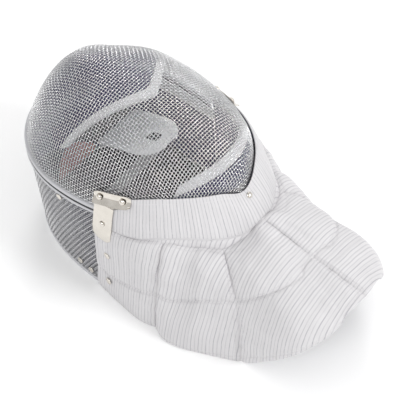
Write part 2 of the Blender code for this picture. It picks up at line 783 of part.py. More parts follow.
def inside_face(across, along, depth):
    """Point under the face dome at a place seen from above, measured from the widest section's middle."""
    side = -1 if across <= 0 else 1
    direction = math.degrees(math.atan2(along, abs(across)))
    reach = plan_radius(direction, FACE_HALF_WIDTH, CROWN_REACH, CHIN_REACH, CROWN_PLAN_POWER, CHIN_PLAN_POWER)
    share = min(math.hypot(across, along) / reach, 1.0)
    level = max(1.0 - share ** form_at(direction, "top"), 0.0) ** (1 / form_at(direction, "wall"))
    return outside_face(direction, level, -depth, side)


def lining_path(start, turn, to_rim):
    """Line on the lining's middle surface, from a place on the face out to the joint line and down to the rim."""
    side = -1 if turn <= 90 else 1
    direction = turn if turn <= 90 else 180 - turn
    joint = face_point(direction, 0.0, side)
    steps = 24
    path = []
    for step in range(steps + 1):
        share = 0.985 * math.sin(math.pi / 2 * step / steps)
        across = start[0] + (joint.x - start[0]) * share
        along = start[1] + (joint.y - CENTRE_SHIFT - start[1]) * share
        depth = LINING_DEPTH + (BINDING_DEPTH - LINING_DEPTH) * share ** 6
        path.append(inside_face(across, along, depth))
    if to_rim:
        rim = rim_point(turn)
        inward = Vector((rim.x, rim.y - CENTRE_SHIFT - RIM_WIDEST_BEHIND_FACE, 0.0)).normalized()
        foot = rim - inward * BINDING_DEPTH
        foot.z = LINING_FOOT
        path.append(foot)
    return path


def point_along(path, length):
    """Point at a length from the start of a line of points."""
    left = length
    for first, second in zip(path, path[1:]):
        piece = (second - first).length
        if left <= piece:
            return first.lerp(second, left / piece)
        left -= piece
    return path[-1]


def path_length(path):
    return sum((second - first).length for first, second in zip(path, path[1:]))


def build_lining(word, paths, rows_count):
    """Pad along the paths, with a tape of its own around its front edge."""
    rows = []
    start = TAPE_WIDTH + TAPE_CLEARANCE
    for row in range(rows_count + 1):
        share = row / rows_count
        rows.append([point_along(path, start + (path_length(path) - start) * share) for path in paths])
    mesh = grid_mesh(f"lining_{word}", rows)
    smooth(mesh, 50)
    solidify(add_object(f"lining_{word}", mesh, "lining_navy"), LINING_THICKNESS, even=False)
    rows = [[point_along(path, TAPE_WIDTH * share) for path in paths] for share in (0.0, 0.5, 1.0)]
    mesh = grid_mesh(f"tape_{word}", rows)
    smooth(mesh, 50)
    solidify(add_object(f"tape_{word}", mesh, "white_tape"), TAPE_THICKNESS, even=False)


def build_linings():
    columns = 18
    crown = []
    chin = []
    for step in range(columns + 1):
        share = 2 * step / columns - 1
        across = CROWN_LINING_HALF_WIDTH * share
        along = CROWN_LINING_EDGE + CROWN_LINING_SWEEP * abs(share) ** 1.3
        turn = 90 + (90 - CROWN_LINING_TURN) * share
        crown.append(lining_path((across, along), turn, True))
    for step in range(columns // 2 + 1):
        share = 4 * step / columns - 1
        across = CHIN_LINING_HALF_WIDTH * share
        along = CHIN_LINING_REACH - CHIN_REACH + CHIN_LINING_SWEEP * share * share
        turn = -90 - 28 * share if share < 0 else 270 - 28 * share
        chin.append(lining_path((across, along), turn, False))
    build_lining("crown", crown, 9)
    build_lining("chin", chin, 4)


def build_tongue():
    rows = []
    columns = 4
    for row in TONGUE_LINE:
        along = CENTRE_SHIFT + RIM_WIDEST_BEHIND_FACE + RIM_CROWN_REACH * row["behind"]
        height = FACE_RISE * row["up"]
        rows.append([Vector((TONGUE_WIDTH * (step / columns - 0.5), along, height)) for step in range(columns + 1)])
    mesh = grid_mesh("back_tongue", rows)
    smooth(mesh)
    solidify(add_object("back_tongue", mesh, "tongue_vinyl"), TONGUE_THICKNESS)


def strap_half_length():
    """Half of the strap's span, between the lining on either side at its own height."""
    side = side_spot(0.0, 1 - STRAP_HEIGHT / JOINT_HEIGHT, -1)
    return abs(side.x) - BINDING_DEPTH - LINING_THICKNESS / 2 - STRAP_END_INSET


def build_strap():
    rows = []
    steps = 12
    half_length = strap_half_length()
    for edge in (-0.5, 0.5):
        line = []
        for step in range(steps + 1):
            share = 2 * step / steps - 1
            height = STRAP_HEIGHT - STRAP_SAG * (1 - share * share)
            line.append(Vector((half_length * share, CENTRE_SHIFT + STRAP_WIDTH * edge, height)))
        rows.append(line)
    mesh = grid_mesh("back_strap", rows)
    smooth(mesh)
    solidify(add_object("back_strap", mesh, "strap_webbing"), STRAP_THICKNESS)


def main():
    clear_scene()
    build_front_mesh()
    build_bindings()
    build_side_mesh()
    build_rear_binding()
    build_bib()
    for word, side in (("right", -1), ("left", 1)):
        build_bracket(f"cheek_bracket_{word}", side)
        build_fasteners(word, side)
    build_chin_rivet()
    build_linings()
    build_tongue()
    build_strap()


main()
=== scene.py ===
"""Fencing mask lying on its rear rim, face up.

Woven wire face and side, bindings, cheek brackets, quilted bib and padded lining.

Units are metres and +Z is up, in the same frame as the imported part.
"""
import math

import bpy
import numpy as np
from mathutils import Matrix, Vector, noise


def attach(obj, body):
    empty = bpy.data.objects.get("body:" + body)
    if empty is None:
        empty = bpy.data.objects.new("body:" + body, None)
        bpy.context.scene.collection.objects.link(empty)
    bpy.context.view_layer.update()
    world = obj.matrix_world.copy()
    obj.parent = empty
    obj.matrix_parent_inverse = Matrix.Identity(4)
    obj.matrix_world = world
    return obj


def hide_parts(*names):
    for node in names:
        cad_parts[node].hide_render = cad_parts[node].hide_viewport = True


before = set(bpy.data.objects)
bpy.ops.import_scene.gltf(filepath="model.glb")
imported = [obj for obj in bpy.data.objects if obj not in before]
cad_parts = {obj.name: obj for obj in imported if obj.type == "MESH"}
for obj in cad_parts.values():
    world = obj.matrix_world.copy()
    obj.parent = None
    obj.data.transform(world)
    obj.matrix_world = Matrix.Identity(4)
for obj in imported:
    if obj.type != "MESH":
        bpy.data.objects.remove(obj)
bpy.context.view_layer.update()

MM = 0.001

# The mask's own sizes, as the part has them
FACE_HALF_WIDTH = 92.2 * MM
CROWN_REACH = 94.0 * MM
CHIN_REACH = 154.9 * MM
FACE_RISE = 99.8 * MM
CROWN_PLAN_POWER = 2.38
CHIN_PLAN_POWER = 2.04
JOINT_HEIGHT = 119.5 * MM
JOINT_CHIN_LIFT = 27.7 * MM
RIM_HALF_WIDTH = 94.5 * MM
RIM_CROWN_REACH = 140.0 * MM
RIM_WIDEST_BEHIND_FACE = -50.8 * MM
RIM_PLAN_POWER = 2.4
RIM_BINDING_HEIGHT = 4.0 * MM
RIM_BINDING_THICKNESS = 3.6 * MM
FACE_BINDING_HEIGHT = 5.8 * MM
SIDE_BINDING_HEIGHT = 4.6 * MM
BINDING_THICKNESS = 4.8 * MM
GROOVE_DEPTH = 0.5 * MM
GROOVE_EASE = 0.5 * MM
GROOVE_WIDTH = 1.9 * MM
BIB_THICKNESS = 1.8 * MM
HEM_LIFT = 0.4 * MM
CHEEK_LINE = -43.3 * MM
CHEEK_OVERLAP = 6.0 * MM
BINDING_START = CHEEK_LINE + 1.5 * MM
BIB_LENGTH = 125.0 * MM
BIB_HALF_WIDTH = 98.5 * MM
SEAM_HEIGHT = 126.0 * MM
SEAM_CHIN_STANDOFF = 24.8 * MM
QUILT_PUFF = 5.0 * MM
COLLAR_BULGE = 2.5 * MM
PLATE_THICKNESS = 1.2 * MM
BEND_DEPTH = 4.2 * MM
BEND_START = 0.5
LEG_REAR = -43.6 * MM
LEG_FRONT = -66.5 * MM
LEG_CORNER = 6.0 * MM
LINING_THICKNESS = 5.0 * MM
LINING_FOOT = 10.0 * MM
TAPE_WIDTH = 11.0 * MM
TAPE_CLEARANCE = 0.9 * MM
TAPE_THICKNESS = 5.2 * MM
SIDE_TAPE_HEIGHT = 17.0 * MM
CROWN_LINING_HALF_WIDTH = 78.0 * MM
CROWN_LINING_EDGE = -47.7 * MM
CROWN_LINING_SWEEP = 53.0 * MM
CROWN_LINING_TURN = 26.0
CHIN_LINING_HALF_WIDTH = 52.0 * MM
CHIN_LINING_REACH = 20.2 * MM
CHIN_LINING_SWEEP = 18.0 * MM
CHIN_LINING_TURN = 28.0
LINING_STOP = 0.985
TONGUE_WIDTH = 58.0 * MM
TONGUE_ROUND_START = 0.88
TONGUE_TIP_CUT = 0.55
STRAP_WIDTH = 44.0 * MM
STRAP_HALF_LENGTH = 77.0 * MM
STRAP_HEIGHT = 30.0 * MM
STRAP_SAG = 8.0 * MM
GAP = 0.35 * MM
CENTRE_SHIFT = 104.15 * MM
BIB_INSIDE = Vector((0.0, CENTRE_SHIFT - CHIN_REACH, 0.0))
COLLAR_STANDOFF = 2.25 * MM
PLATE_STANDOFF = 4.1 * MM
LEG_STANDOFF = 2.2 * MM
LINING_DEPTH = 4.75 * MM
BINDING_DEPTH = 5.6 * MM
CHEEK_LENGTH = CHIN_REACH + SEAM_CHIN_STANDOFF + CHEEK_LINE

# Woven wire
WIRE_PITCH = 3.1 * MM
WIRE_RADIUS = 0.42 * MM
WIRE_CRIMP = 0.5 * MM
SIDE_WIRE_RADIUS = 0.50 * MM
NET_CENTRE = -4.0 * MM
SIDE_LAY = 11.0
SIDE_PITCH = 3.1 * MM
SIDE_CRIMP = 0.65 * MM

FACE_FORM = (
    {"direction": -90, "wall": 2.57, "top": 2.51},
    {"direction": -45, "wall": 2.20, "top": 2.09},
    {"direction": 0, "wall": 1.72, "top": 2.00},
    {"direction": 45, "wall": 1.25, "top": 1.95},
    {"direction": 90, "wall": 1.73, "top": 2.49},
)

# The bib's ribs from the cheek to the middle: collar edge, seam and hem places, roundness, and the
# shares of their length at which the cross seam and the collar's sewn line lie
RIB_COLUMNS = ("edge_direction", "edge_level", "seam_across", "seam_ahead", "seam_up",
               "hem_across", "hem_ahead", "hem_up", "round", "cross", "sewn")
BIB_RIBS = tuple(dict(zip(RIB_COLUMNS, row)) for row in (
    (-26.0, 0.07, 0.968, -0.9989, 0.83, 0.99, -0.9971, 0.0, 1.0, 0.68, 1.0),
    (-36.0, 0.22, 0.915, -0.6736, 0.865, 1.045, -0.5865, 0.0, 1.5, 0.66, 0.98),
    (-53.0, 0.325, 0.785, -0.449, 0.915, 1.03, -0.3986, 0.0, 1.55, 0.63, 0.92),
    (-62.5, 0.35, 0.64, -0.2749, 0.905, 1.05, -0.1833, 0.0, 1.3, 0.55, 0.83),
    (-71.0, 0.34, 0.46, -0.1008, 0.895, 0.795, 0.3, 0.0, 2.05, 0.49, 0.82),
    (-80.5, 0.275, 0.22, -0.0183, 0.935, 0.6, 0.8, 0.52, 2.2, 0.38, 0.94),
    (-90.0, 0.09, 0.0, 0.0, 1.0, 0.0, 1.0, 0.86, 1.0, 0.5, 0.99),
))
LAST_RIB = len(BIB_RIBS) - 1
SEAM_RIBS = (2.0, 4.0, 6.0)
HEM_SEAMS = (0.055, 0.955)
PANEL_PUFF = (0.45, 0.85, 1.0)
COLLAR_MIDDLE = -45.0 * MM
COLLAR_HEIGHT = 38  # millimetres, for the cloth coordinates
STRIPE_SPREAD = 0.86

# The cheek plate's columns: direction, top and bottom level on the face dome
BRACKET_PLATE = np.array((
    (-26.0, 0.26, 0.165), (-28.5, 0.285, 0.165), (-31.2, 0.295, 0.17),
    (-33.8, 0.3, 0.175), (-36.5, 0.305, 0.18), (-39.2, 0.31, 0.182),
    (-42.0, 0.315, 0.19), (-44.7, 0.318, 0.2), (-46.6, 0.305, 0.225),
))
BRACKET_LEG = (1.149, 1.075, 0.981, 0.896, 0.812, 0.743)

TONGUE_LINE = (
    (0.898, 0.12), (0.875, 0.40), (0.800, 0.72), (0.690, 1.00), (0.480, 1.22), (0.220, 1.39), (-0.080, 1.53),
)


# Curves and forms shared by the pieces

def hermite(before, start, end, after, share):
    slope_in = (end - before) / 2
    slope_out = (after - start) / 2
    square, cube = share * share, share * share * share
    return ((2 * cube - 3 * square + 1) * start + (cube - 2 * square + share) * slope_in
            + (3 * square - 2 * cube) * end + (cube - square) * slope_out)


def blend_column(values, position, before_first, after_last):
    """Values at positions counted in rows, on a smooth curve through all the rows."""
    padded = np.array([before_first, *values, after_last])
    row = np.clip(np.floor(position), 0, len(values) - 2).astype(int)
    return hermite(padded[row], padded[row + 1], padded[row + 2], padded[row + 3], position - row)


def halved(low, high, times, is_low):
    """A span cut in half again and again around the place where is_low stops being true."""
    for _ in range(times):
        middle = (low + high) / 2
        if is_low(middle):
            low = middle
        else:
            high = middle
    return low, high


def straight_ended(values, position):
    """A value on the curve through a column whose ends run on straight."""
    return float(blend_column(values, position, 2 * values[0] - values[1], 2 * values[-1] - values[-2]))


def form_at(direction, column):
    values = [row[column] for row in FACE_FORM]
    step = FACE_FORM[1]["direction"] - FACE_FORM[0]["direction"]
    return blend_column(values, (direction - FACE_FORM[0]["direction"]) / step, values[1], values[-2])


def plan_radius(direction, half_width, crown_reach, chin_reach, crown_power, chin_power):
    angle = np.radians(direction)
    behind = direction > 0
    reach = np.where(behind, crown_reach, chin_reach)
    power = np.where(behind, crown_power, chin_power)
    across, along = abs(np.cos(angle)) / half_width, abs(np.sin(angle)) / reach
    return (across ** power + along ** power) ** (-1 / power)


def face_radius(direction):
    return plan_radius(direction, FACE_HALF_WIDTH, CROWN_REACH, CHIN_REACH, CROWN_PLAN_POWER, CHIN_PLAN_POWER)


def joint_height(along):
    return JOINT_HEIGHT + JOINT_CHIN_LIFT * (along / CHIN_REACH) ** 2


def face_point(direction, level, side=-1.0):
    """Point on the face dome: direction from -90 at the chin to 90 at the crown, level from 0 to 1."""
    level = min(max(level, 0.0), 1.0)
    shrink = max(1.0 - level ** form_at(direction, "wall"), 0.0) ** (1 / form_at(direction, "top"))
    radius = shrink * face_radius(direction)
    angle = math.radians(direction)
    along = radius * math.sin(angle)
    height = joint_height(along) * (1 - level) + (JOINT_HEIGHT + FACE_RISE) * level
    return Vector((side * radius * math.cos(angle), along + CENTRE_SHIFT, height))


def dome_value(points):
    """Zero on the face dome and on the upright wall under its edge, positive outside them."""
    across, along, height = points[:, 0], points[:, 1] - CENTRE_SHIFT, points[:, 2]
    direction = np.degrees(np.arctan2(along, abs(across)))
    share = np.hypot(across, along) / face_radius(direction)
    base = joint_height(along)
    level = np.maximum((height - base) / (JOINT_HEIGHT + FACE_RISE - base), 0.0)
    return share ** form_at(direction, "top") + level ** form_at(direction, "wall") - 1.0


def dome_slope(points):
    step = 0.02 * MM
    slope = np.empty_like(points)
    for axis in range(3):
        shift = np.zeros(3)
        shift[axis] = step
        slope[:, axis] = (dome_value(points + shift) - dome_value(points - shift)) / (2 * step)
    return slope


def dome_normal(points):
    slope = dome_slope(points)
    return slope / np.linalg.norm(slope, axis=1, keepdims=True)


def outside_face(direction, level, distance, side=-1.0):
    point = face_point(direction, level, side)
    normal = dome_normal(np.array([point]))[0]
    return point + Vector(normal) * distance


def turned_point(point_of, turn):
    """Point of a plan line that runs from one cheek over the crown to the other, at turns from -90 to 270."""
    return point_of(turn, -1.0) if turn <= 90 else point_of(180.0 - turn, 1.0)


def joint_line(direction, side):
    return face_point(direction, 0.0, side)


def rim_line(direction, side):
    radius = plan_radius(direction, RIM_HALF_WIDTH, RIM_CROWN_REACH, RIM_CROWN_REACH,
                         RIM_PLAN_POWER, RIM_PLAN_POWER)
    angle = math.radians(direction)
    return Vector((side * radius * math.cos(angle),
                   radius * math.sin(angle) + RIM_WIDEST_BEHIND_FACE + CENTRE_SHIFT, 0.0))


def turn_at(point_of, along):
    """Turn at which a plan line reaches a distance along Y from the widest section."""
    low, high = halved(-85.0, 60.0, 40, lambda turn: turned_point(point_of, turn).y - CENTRE_SHIFT < along)
    return (low + high) / 2


def plan_line(point_of, along, steps):
    """Points of a plan line from a distance along Y on one side over the crown to the other side."""
    start = turn_at(point_of, along)
    return [turned_point(point_of, start + (180 - 2 * start) * step / steps) for step in range(steps + 1)]


# Meshes

def add_piece(name, vertices, faces, finish, body="root", smooth_angle=None):
    mesh = bpy.data.meshes.new(name)
    mesh.from_pydata([tuple(point) for point in vertices], [], faces)
    mesh.update()
    mesh.shade_smooth()
    if smooth_angle is not None:
        mesh.set_sharp_from_angle(angle=math.radians(smooth_angle))
    piece = bpy.data.objects.new(name, mesh)
    bpy.context.scene.collection.objects.link(piece)
    mesh.materials.append(finish)
    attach(piece, body)
    return piece


def dress(cad_node):
    """Hide the CAD node that a piece takes the place of."""
    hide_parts(cad_node)


def point_array(points):
    """Array of a list of points or of a grid of them."""
    if isinstance(points[0], Vector):
        return np.array([tuple(point) for point in points])
    return np.array([[tuple(point) for point in row] for row in points])


def grid_faces(rows, columns, closed=False):
    faces = []
    last = columns if closed else columns - 1
    for row in range(rows - 1):
        for column in range(last):
            after = (column + 1) % columns
            faces.append((row * columns + column, row * columns + after,
                          (row + 1) * columns + after, (row + 1) * columns + column))
    return faces


def shell_piece(name, rows, thickness, finish, rim=0.5, smooth_angle=50, backing=None):
    """Closed sheet with rounded edges around a grid of points; backing is the finish of its inner side."""
    points = point_array(rows)
    ahead = np.gradient(points, axis=1)
    down = np.gradient(points, axis=0)
    normal = np.cross(ahead, down)
    normal /= np.maximum(np.linalg.norm(normal, axis=2, keepdims=True), 1e-12)
    half = thickness / 2
    count, width = points.shape[:2]
    inset = np.ones((count, width))
    inset[0, :] = inset[-1, :] = rim
    inset[:, 0] = inset[:, -1] = rim
    upper = points + normal * half * inset[:, :, None]
    lower = points - normal * half * inset[:, :, None]
    vertices = np.concatenate([upper.reshape(-1, 3), lower.reshape(-1, 3)])
    base = count * width
    top_faces = grid_faces(count, width)
    faces = [tuple(reversed(face)) for face in top_faces]
    faces += [tuple(base + index for index in face) for face in top_faces]
    border = ([(0, column) for column in range(width)]
              + [(row, width - 1) for row in range(1, count)]
              + [(count - 1, column) for column in range(width - 2, -1, -1)]
              + [(row, 0) for row in range(count - 2, 0, -1)])
    ring = [row * width + column for row, column in border]
    for first, second in zip(ring, ring[1:] + ring[:1]):
        faces.append((first, second, base + second, base + first))
    made = add_piece(name, vertices, faces, finish, smooth_angle=smooth_angle)
    if backing is not None:
        made.data.materials.append(backing)
        first = 0 if backing_above(points, normal) else len(top_faces)
        for index in range(first, first + len(top_faces)):
            made.data.polygons[index].material_index = 1
    return made


def backing_above(points, normal):
    """True where the grid's own normals point into the mask."""
    inside = np.array([0.0, CENTRE_SHIFT - 60 * MM, 0.0])
    return bool(((points - inside) * normal).sum() < 0)


def write_cloth_coordinates(made, flat):
    """UV map with one pair for each point of the shell's grid, the same on both sides."""
    layer = made.data.uv_layers.new(name="cloth")
    loops = np.empty(len(made.data.loops), dtype=int)
    made.data.loops.foreach_get("vertex_index", loops)
    layer.data.foreach_set("uv", flat[loops % len(flat)].astype(np.float32).ravel())


def cloth_map(made, rows):
    """UV map with the cloth's own lengths in millimetres, for a shell made from a grid of points."""
    points = point_array(rows)
    across = np.linalg.norm(np.diff(points, axis=1), axis=2).mean(axis=0)
    down = np.linalg.norm(np.diff(points, axis=0), axis=2).mean(axis=1)
    widths = np.concatenate([[0.0], np.cumsum(across)]) / MM
    lengths = np.concatenate([[0.0], np.cumsum(down)]) / MM
    flat = np.stack(np.meshgrid(widths, lengths), axis=2).reshape(-1, 2)
    write_cloth_coordinates(made, flat)
    return widths[-1] * MM, lengths[-1] * MM


def swept_piece(name, path, sideways, section, finish):
    """Closed bar: (side, up) pairs carried along an open path, with up straight up."""
    vertices = []
    count = len(section)
    for point, side in zip(path, sideways):
        for across, rise in section:
            vertices.append(point + side * across + Vector((0, 0, rise)))
    faces = grid_faces(len(path), count, closed=True)
    faces.append(tuple(range(count)))
    faces.append(tuple(reversed(range((len(path) - 1) * count, len(path) * count))))
    return add_piece(name, vertices, faces, finish, smooth_angle=55)


def plan_normals(path):
    """Level directions square to an open path, pointing away from the mask's middle."""
    normals = []
    for index in range(len(path)):
        tangent = path[min(index + 1, len(path) - 1)] - path[max(index - 1, 0)]
        normals.append(Vector((-tangent.y, tangent.x, 0.0)).normalized())
    return normals


def rounded_section(left, right, low, high, corner, corners=(True, True, True, True), steps=4):
    """Box section from left low round to left high, with the chosen corners rounded."""
    spots = ((left, low, 180), (right, low, 270), (right, high, 0), (left, high, 90))
    section = []
    for (across, up, start), rounded in zip(spots, corners):
        if not rounded:
            section.append((across, up))
            continue
        centre_across = across + (corner if across == left else -corner)
        centre_up = up + (corner if up == low else -corner)
        for step in range(steps + 1):
            angle = math.radians(start + 90 * step / steps)
            section.append((centre_across + corner * math.cos(angle), centre_up + corner * math.sin(angle)))
    return section


# Material building

def socket_group(name, inputs, outputs):
    """Empty shader group with named inputs and outputs: (name, type, default)."""
    group = bpy.data.node_groups.new(name, "ShaderNodeTree")
    for label, kind, default in inputs:
        socket = group.interface.new_socket(name=label, in_out="INPUT", socket_type=kind)
        socket.default_value = default
    for label, kind in outputs:
        group.interface.new_socket(name=label, in_out="OUTPUT", socket_type=kind)
    return group, group.nodes.new("NodeGroupInput"), group.nodes.new("NodeGroupOutput")


def link(tree, source, target):
    tree.links.new(source, target)


def feed(tree, value, socket):
    """Give a socket a number, a colour or another node's output."""
    if isinstance(value, (int, float)):
        socket.default_value = value
    elif isinstance(value, tuple):
        socket.default_value = (*value, 1.0)
    else:
        link(tree, value, socket)


def node(tree, kind, **settings):
    made = tree.nodes.new(kind)
    for key, value in settings.items():
        setattr(made, key, value)
    return made


def maths(tree, operation, first, second=None, third=None, clamp=False):
    made = node(tree, "ShaderNodeMath", operation=operation, use_clamp=clamp)
    for index, value in enumerate((first, second, third)):
        if value is not None:
            feed(tree, value, made.inputs[index])
    return made.outputs[0]


def mixed(tree, factor, first, second):
    made = node(tree, "ShaderNodeMix", data_type="RGBA")
    for index, value in ((0, factor), (6, first), (7, second)):
        feed(tree, value, made.inputs[index])
    return made.outputs[2]


def noise_mask(tree, vector, scale, detail=2.0):
    made = node(tree, "ShaderNodeTexNoise", noise_dimensions="3D")
    for label, value in (("Vector", vector), ("Scale", scale), ("Detail", detail)):
        feed(tree, value, made.inputs[label])
    return made.outputs[0]


def cloth_parts(group, entry):
    """The cloth coordinates of a group's input, one output each."""
    parts = node(group, "ShaderNodeSeparateXYZ")
    link(group, entry.outputs["Cloth"], parts.inputs[0])
    return parts.outputs


def soft_mottle_group():
    """Uneven tone over a surface: large patches with a little fine grain."""
    group, entry, leave = socket_group(
        "soft_mottle",
        (("Patch size", "NodeSocketFloat", 0.03), ("Grain size", "NodeSocketFloat", 0.002),
         ("Grain share", "NodeSocketFloat", 0.3)),
        (("Mask", "NodeSocketFloat"),))
    place = node(group, "ShaderNodeTexCoord")
    patch, grain = (
        noise_mask(group, place.outputs["Object"], maths(group, "DIVIDE", 1.0, entry.outputs[label]), 3.0)
        for label in ("Patch size", "Grain size"))
    blend = node(group, "ShaderNodeMix", data_type="FLOAT")
    for index, value in ((0, entry.outputs["Grain share"]), (2, patch), (3, grain)):
        link(group, value, blend.inputs[index])
    link(group, blend.outputs[0], leave.inputs["Mask"])
    return group


def weave_group():
    """Plain weave of round threads from cloth coordinates in millimetres."""
    group, entry, leave = socket_group(
        "plain_weave",
        (("Cloth", "NodeSocketVector", (0.0, 0.0, 0.0)), ("Threads per mm", "NodeSocketFloat", 1.0)),
        (("Height", "NodeSocketFloat"),))
    scaled = node(group, "ShaderNodeVectorMath", operation="SCALE")
    link(group, entry.outputs["Cloth"], scaled.inputs[0])
    link(group, entry.outputs["Threads per mm"], scaled.inputs["Scale"])
    parts = node(group, "ShaderNodeSeparateXYZ")
    link(group, scaled.outputs[0], parts.inputs[0])
    first = maths(group, "SINE", maths(group, "MULTIPLY", parts.outputs[0], math.pi))
    second = maths(group, "SINE", maths(group, "MULTIPLY", parts.outputs[1], math.pi))
    link(group, maths(group, "ABSOLUTE", maths(group, "MULTIPLY", first, second)), leave.inputs["Height"])
    return group


def pinstripe_group():
    """Dark metal threads in the cloth: uneven thin lines at an even pitch, every second one stronger."""
    group, entry, leave = socket_group(
        "pinstripes",
        (("Cloth", "NodeSocketVector", (0.0, 0.0, 0.0)), ("Pitch", "NodeSocketFloat", 3.0),
         ("Line width", "NodeSocketFloat", 0.28)),
        (("Mask", "NodeSocketFloat"),))
    cloth = entry.outputs["Cloth"]
    wander = noise_mask(group, cloth, 0.12)
    sway = maths(group, "MULTIPLY", maths(group, "SUBTRACT", wander, 0.5), 0.9)
    swayed = maths(group, "ADD", cloth_parts(group, entry)[0], sway)
    across = maths(group, "DIVIDE", swayed, entry.outputs["Pitch"])
    strength = None
    for period, weight in ((1.0, 0.55), (2.0, 0.45)):
        turns = maths(group, "DIVIDE", maths(group, "ADD", across, (period - 1) / 2), period)
        phase = maths(group, "ABSOLUTE", maths(group, "SUBTRACT", maths(group, "FRACT", turns), 0.5))
        distance = maths(group, "MULTIPLY", maths(group, "MULTIPLY", phase, period), entry.outputs["Pitch"])
        off_line = maths(group, "DIVIDE", distance, entry.outputs["Line width"])
        line = maths(group, "MULTIPLY", maths(group, "SUBTRACT", 1.0, off_line, clamp=True), weight)
        strength = line if strength is None else maths(group, "ADD", strength, line)
    uneven = maths(group, "MULTIPLY_ADD", noise_mask(group, cloth, 0.35), 1.5, 0.1, clamp=True)
    link(group, maths(group, "MULTIPLY", strength, uneven), leave.inputs["Mask"])
    return group


def streak_group():
    """Threads of slightly different tone that run along the cloth."""
    group, entry, leave = socket_group(
        "thread_streaks",
        (("Cloth", "NodeSocketVector", (0.0, 0.0, 0.0)), ("Across per mm", "NodeSocketFloat", 1.0),
         ("Along per mm", "NodeSocketFloat", 0.02)),
        (("Mask", "NodeSocketFloat"),))
    parts = cloth_parts(group, entry)
    joined = node(group, "ShaderNodeCombineXYZ")
    for index, label in enumerate(("Across per mm", "Along per mm")):
        link(group, maths(group, "MULTIPLY", parts[index], entry.outputs[label]), joined.inputs[index])
    threads = noise_mask(group, joined.outputs[0], 1.0, 3.0)
    link(group, maths(group, "MULTIPLY_ADD", threads, 2.0, -0.5, clamp=True), leave.inputs["Mask"])
    return group


def placed_group(tree, name, **values):
    """A shared group placed in a material, with its own values."""
    made = node(tree, "ShaderNodeGroup", node_tree=GROUPS[name])
    for label, value in values.items():
        feed(tree, value, made.inputs[label.replace("_", " ")])
    return made.outputs[0]


def new_material(name, roughness, metallic=0.0, sheen=0.0):
    made = bpy.data.materials.new(name)
    made.use_nodes = True
    shader = made.node_tree.nodes["Principled BSDF"]
    for label, value in (("Roughness", roughness), ("Metallic", metallic), ("Sheen Weight", sheen)):
        shader.inputs[label].default_value = value
    return made, made.node_tree, shader


def bumped(tree, shader, height, distance, strength=1.0):
    bump = node(tree, "ShaderNodeBump")
    bump.inputs["Strength"].default_value = strength
    bump.inputs["Distance"].default_value = distance
    link(tree, height, bump.inputs["Height"])
    link(tree, bump.outputs[0], shader.inputs["Normal"])


def mottled_material(name, dark, light, roughness, metallic=0.0, patch=0.02, grain=0.0015, bump=0.0):
    """Finish with uneven colour and roughness and, where bump is set, a grain in relief."""
    made, tree, shader = new_material(name, roughness, metallic)
    mottle = placed_group(tree, "soft_mottle", Patch_size=patch, Grain_size=grain, Grain_share=0.35)
    link(tree, mixed(tree, mottle, dark, light), shader.inputs["Base Color"])
    rough_spread = 0.1
    rough = maths(tree, "MULTIPLY_ADD", mottle, rough_spread, roughness - rough_spread / 2)
    link(tree, rough, shader.inputs["Roughness"])
    if bump:
        bumped(tree, shader, mottle, bump)
    return made


def cloth_coordinates(tree):
    """Cloth coordinates in millimetres, kept in the piece's UV map."""
    layer = node(tree, "ShaderNodeUVMap", uv_map="cloth")
    return layer.outputs[0]


def lame_material():
    made, tree, shader = new_material("lame_cloth", 0.55, sheen=0.15)
    cloth = cloth_coordinates(tree)
    stripes = placed_group(tree, "pinstripes", Cloth=cloth, Pitch=3.1, Line_width=0.48)
    streaks = placed_group(tree, "thread_streaks", Cloth=cloth, Across_per_mm=0.9, Along_per_mm=0.02)
    weave = placed_group(tree, "plain_weave", Cloth=cloth, Threads_per_mm=1.6)
    mottle = placed_group(tree, "soft_mottle", Patch_size=0.035, Grain_size=0.0012, Grain_share=0.35)
    tone = maths(tree, "MULTIPLY_ADD", mottle, 0.5, maths(tree, "MULTIPLY", streaks, 0.5))
    ground = mixed(tree, tone, (0.48, 0.47, 0.48), (0.68, 0.67, 0.68))
    striped = mixed(tree, stripes, ground, (0.27, 0.265, 0.295))
    link(tree, striped, shader.inputs["Base Color"])
    height = maths(tree, "SUBTRACT", weave, maths(tree, "MULTIPLY", stripes, 0.6))
    bumped(tree, shader, height, 0.00012, 0.6)
    rough = maths(tree, "MULTIPLY_ADD", stripes, -0.12, 0.58)
    link(tree, rough, shader.inputs["Roughness"])
    shader.inputs["Sheen Roughness"].default_value = 0.5
    return made


def woven_material(name, dark, light, threads, bump, roughness=0.85, sheen=0.2):
    """Cloth in plain weave, from its own cloth coordinates."""
    made, tree, shader = new_material(name, roughness, sheen=sheen)
    weave = placed_group(tree, "plain_weave", Cloth=cloth_coordinates(tree), Threads_per_mm=threads)
    mottle = placed_group(tree, "soft_mottle", Patch_size=0.02, Grain_size=0.0008, Grain_share=0.4)
    tone = maths(tree, "MULTIPLY_ADD", weave, 0.5, maths(tree, "MULTIPLY", mottle, 0.5))
    link(tree, mixed(tree, tone, dark, light), shader.inputs["Base Color"])
    bumped(tree, shader, weave, bump)
    return made


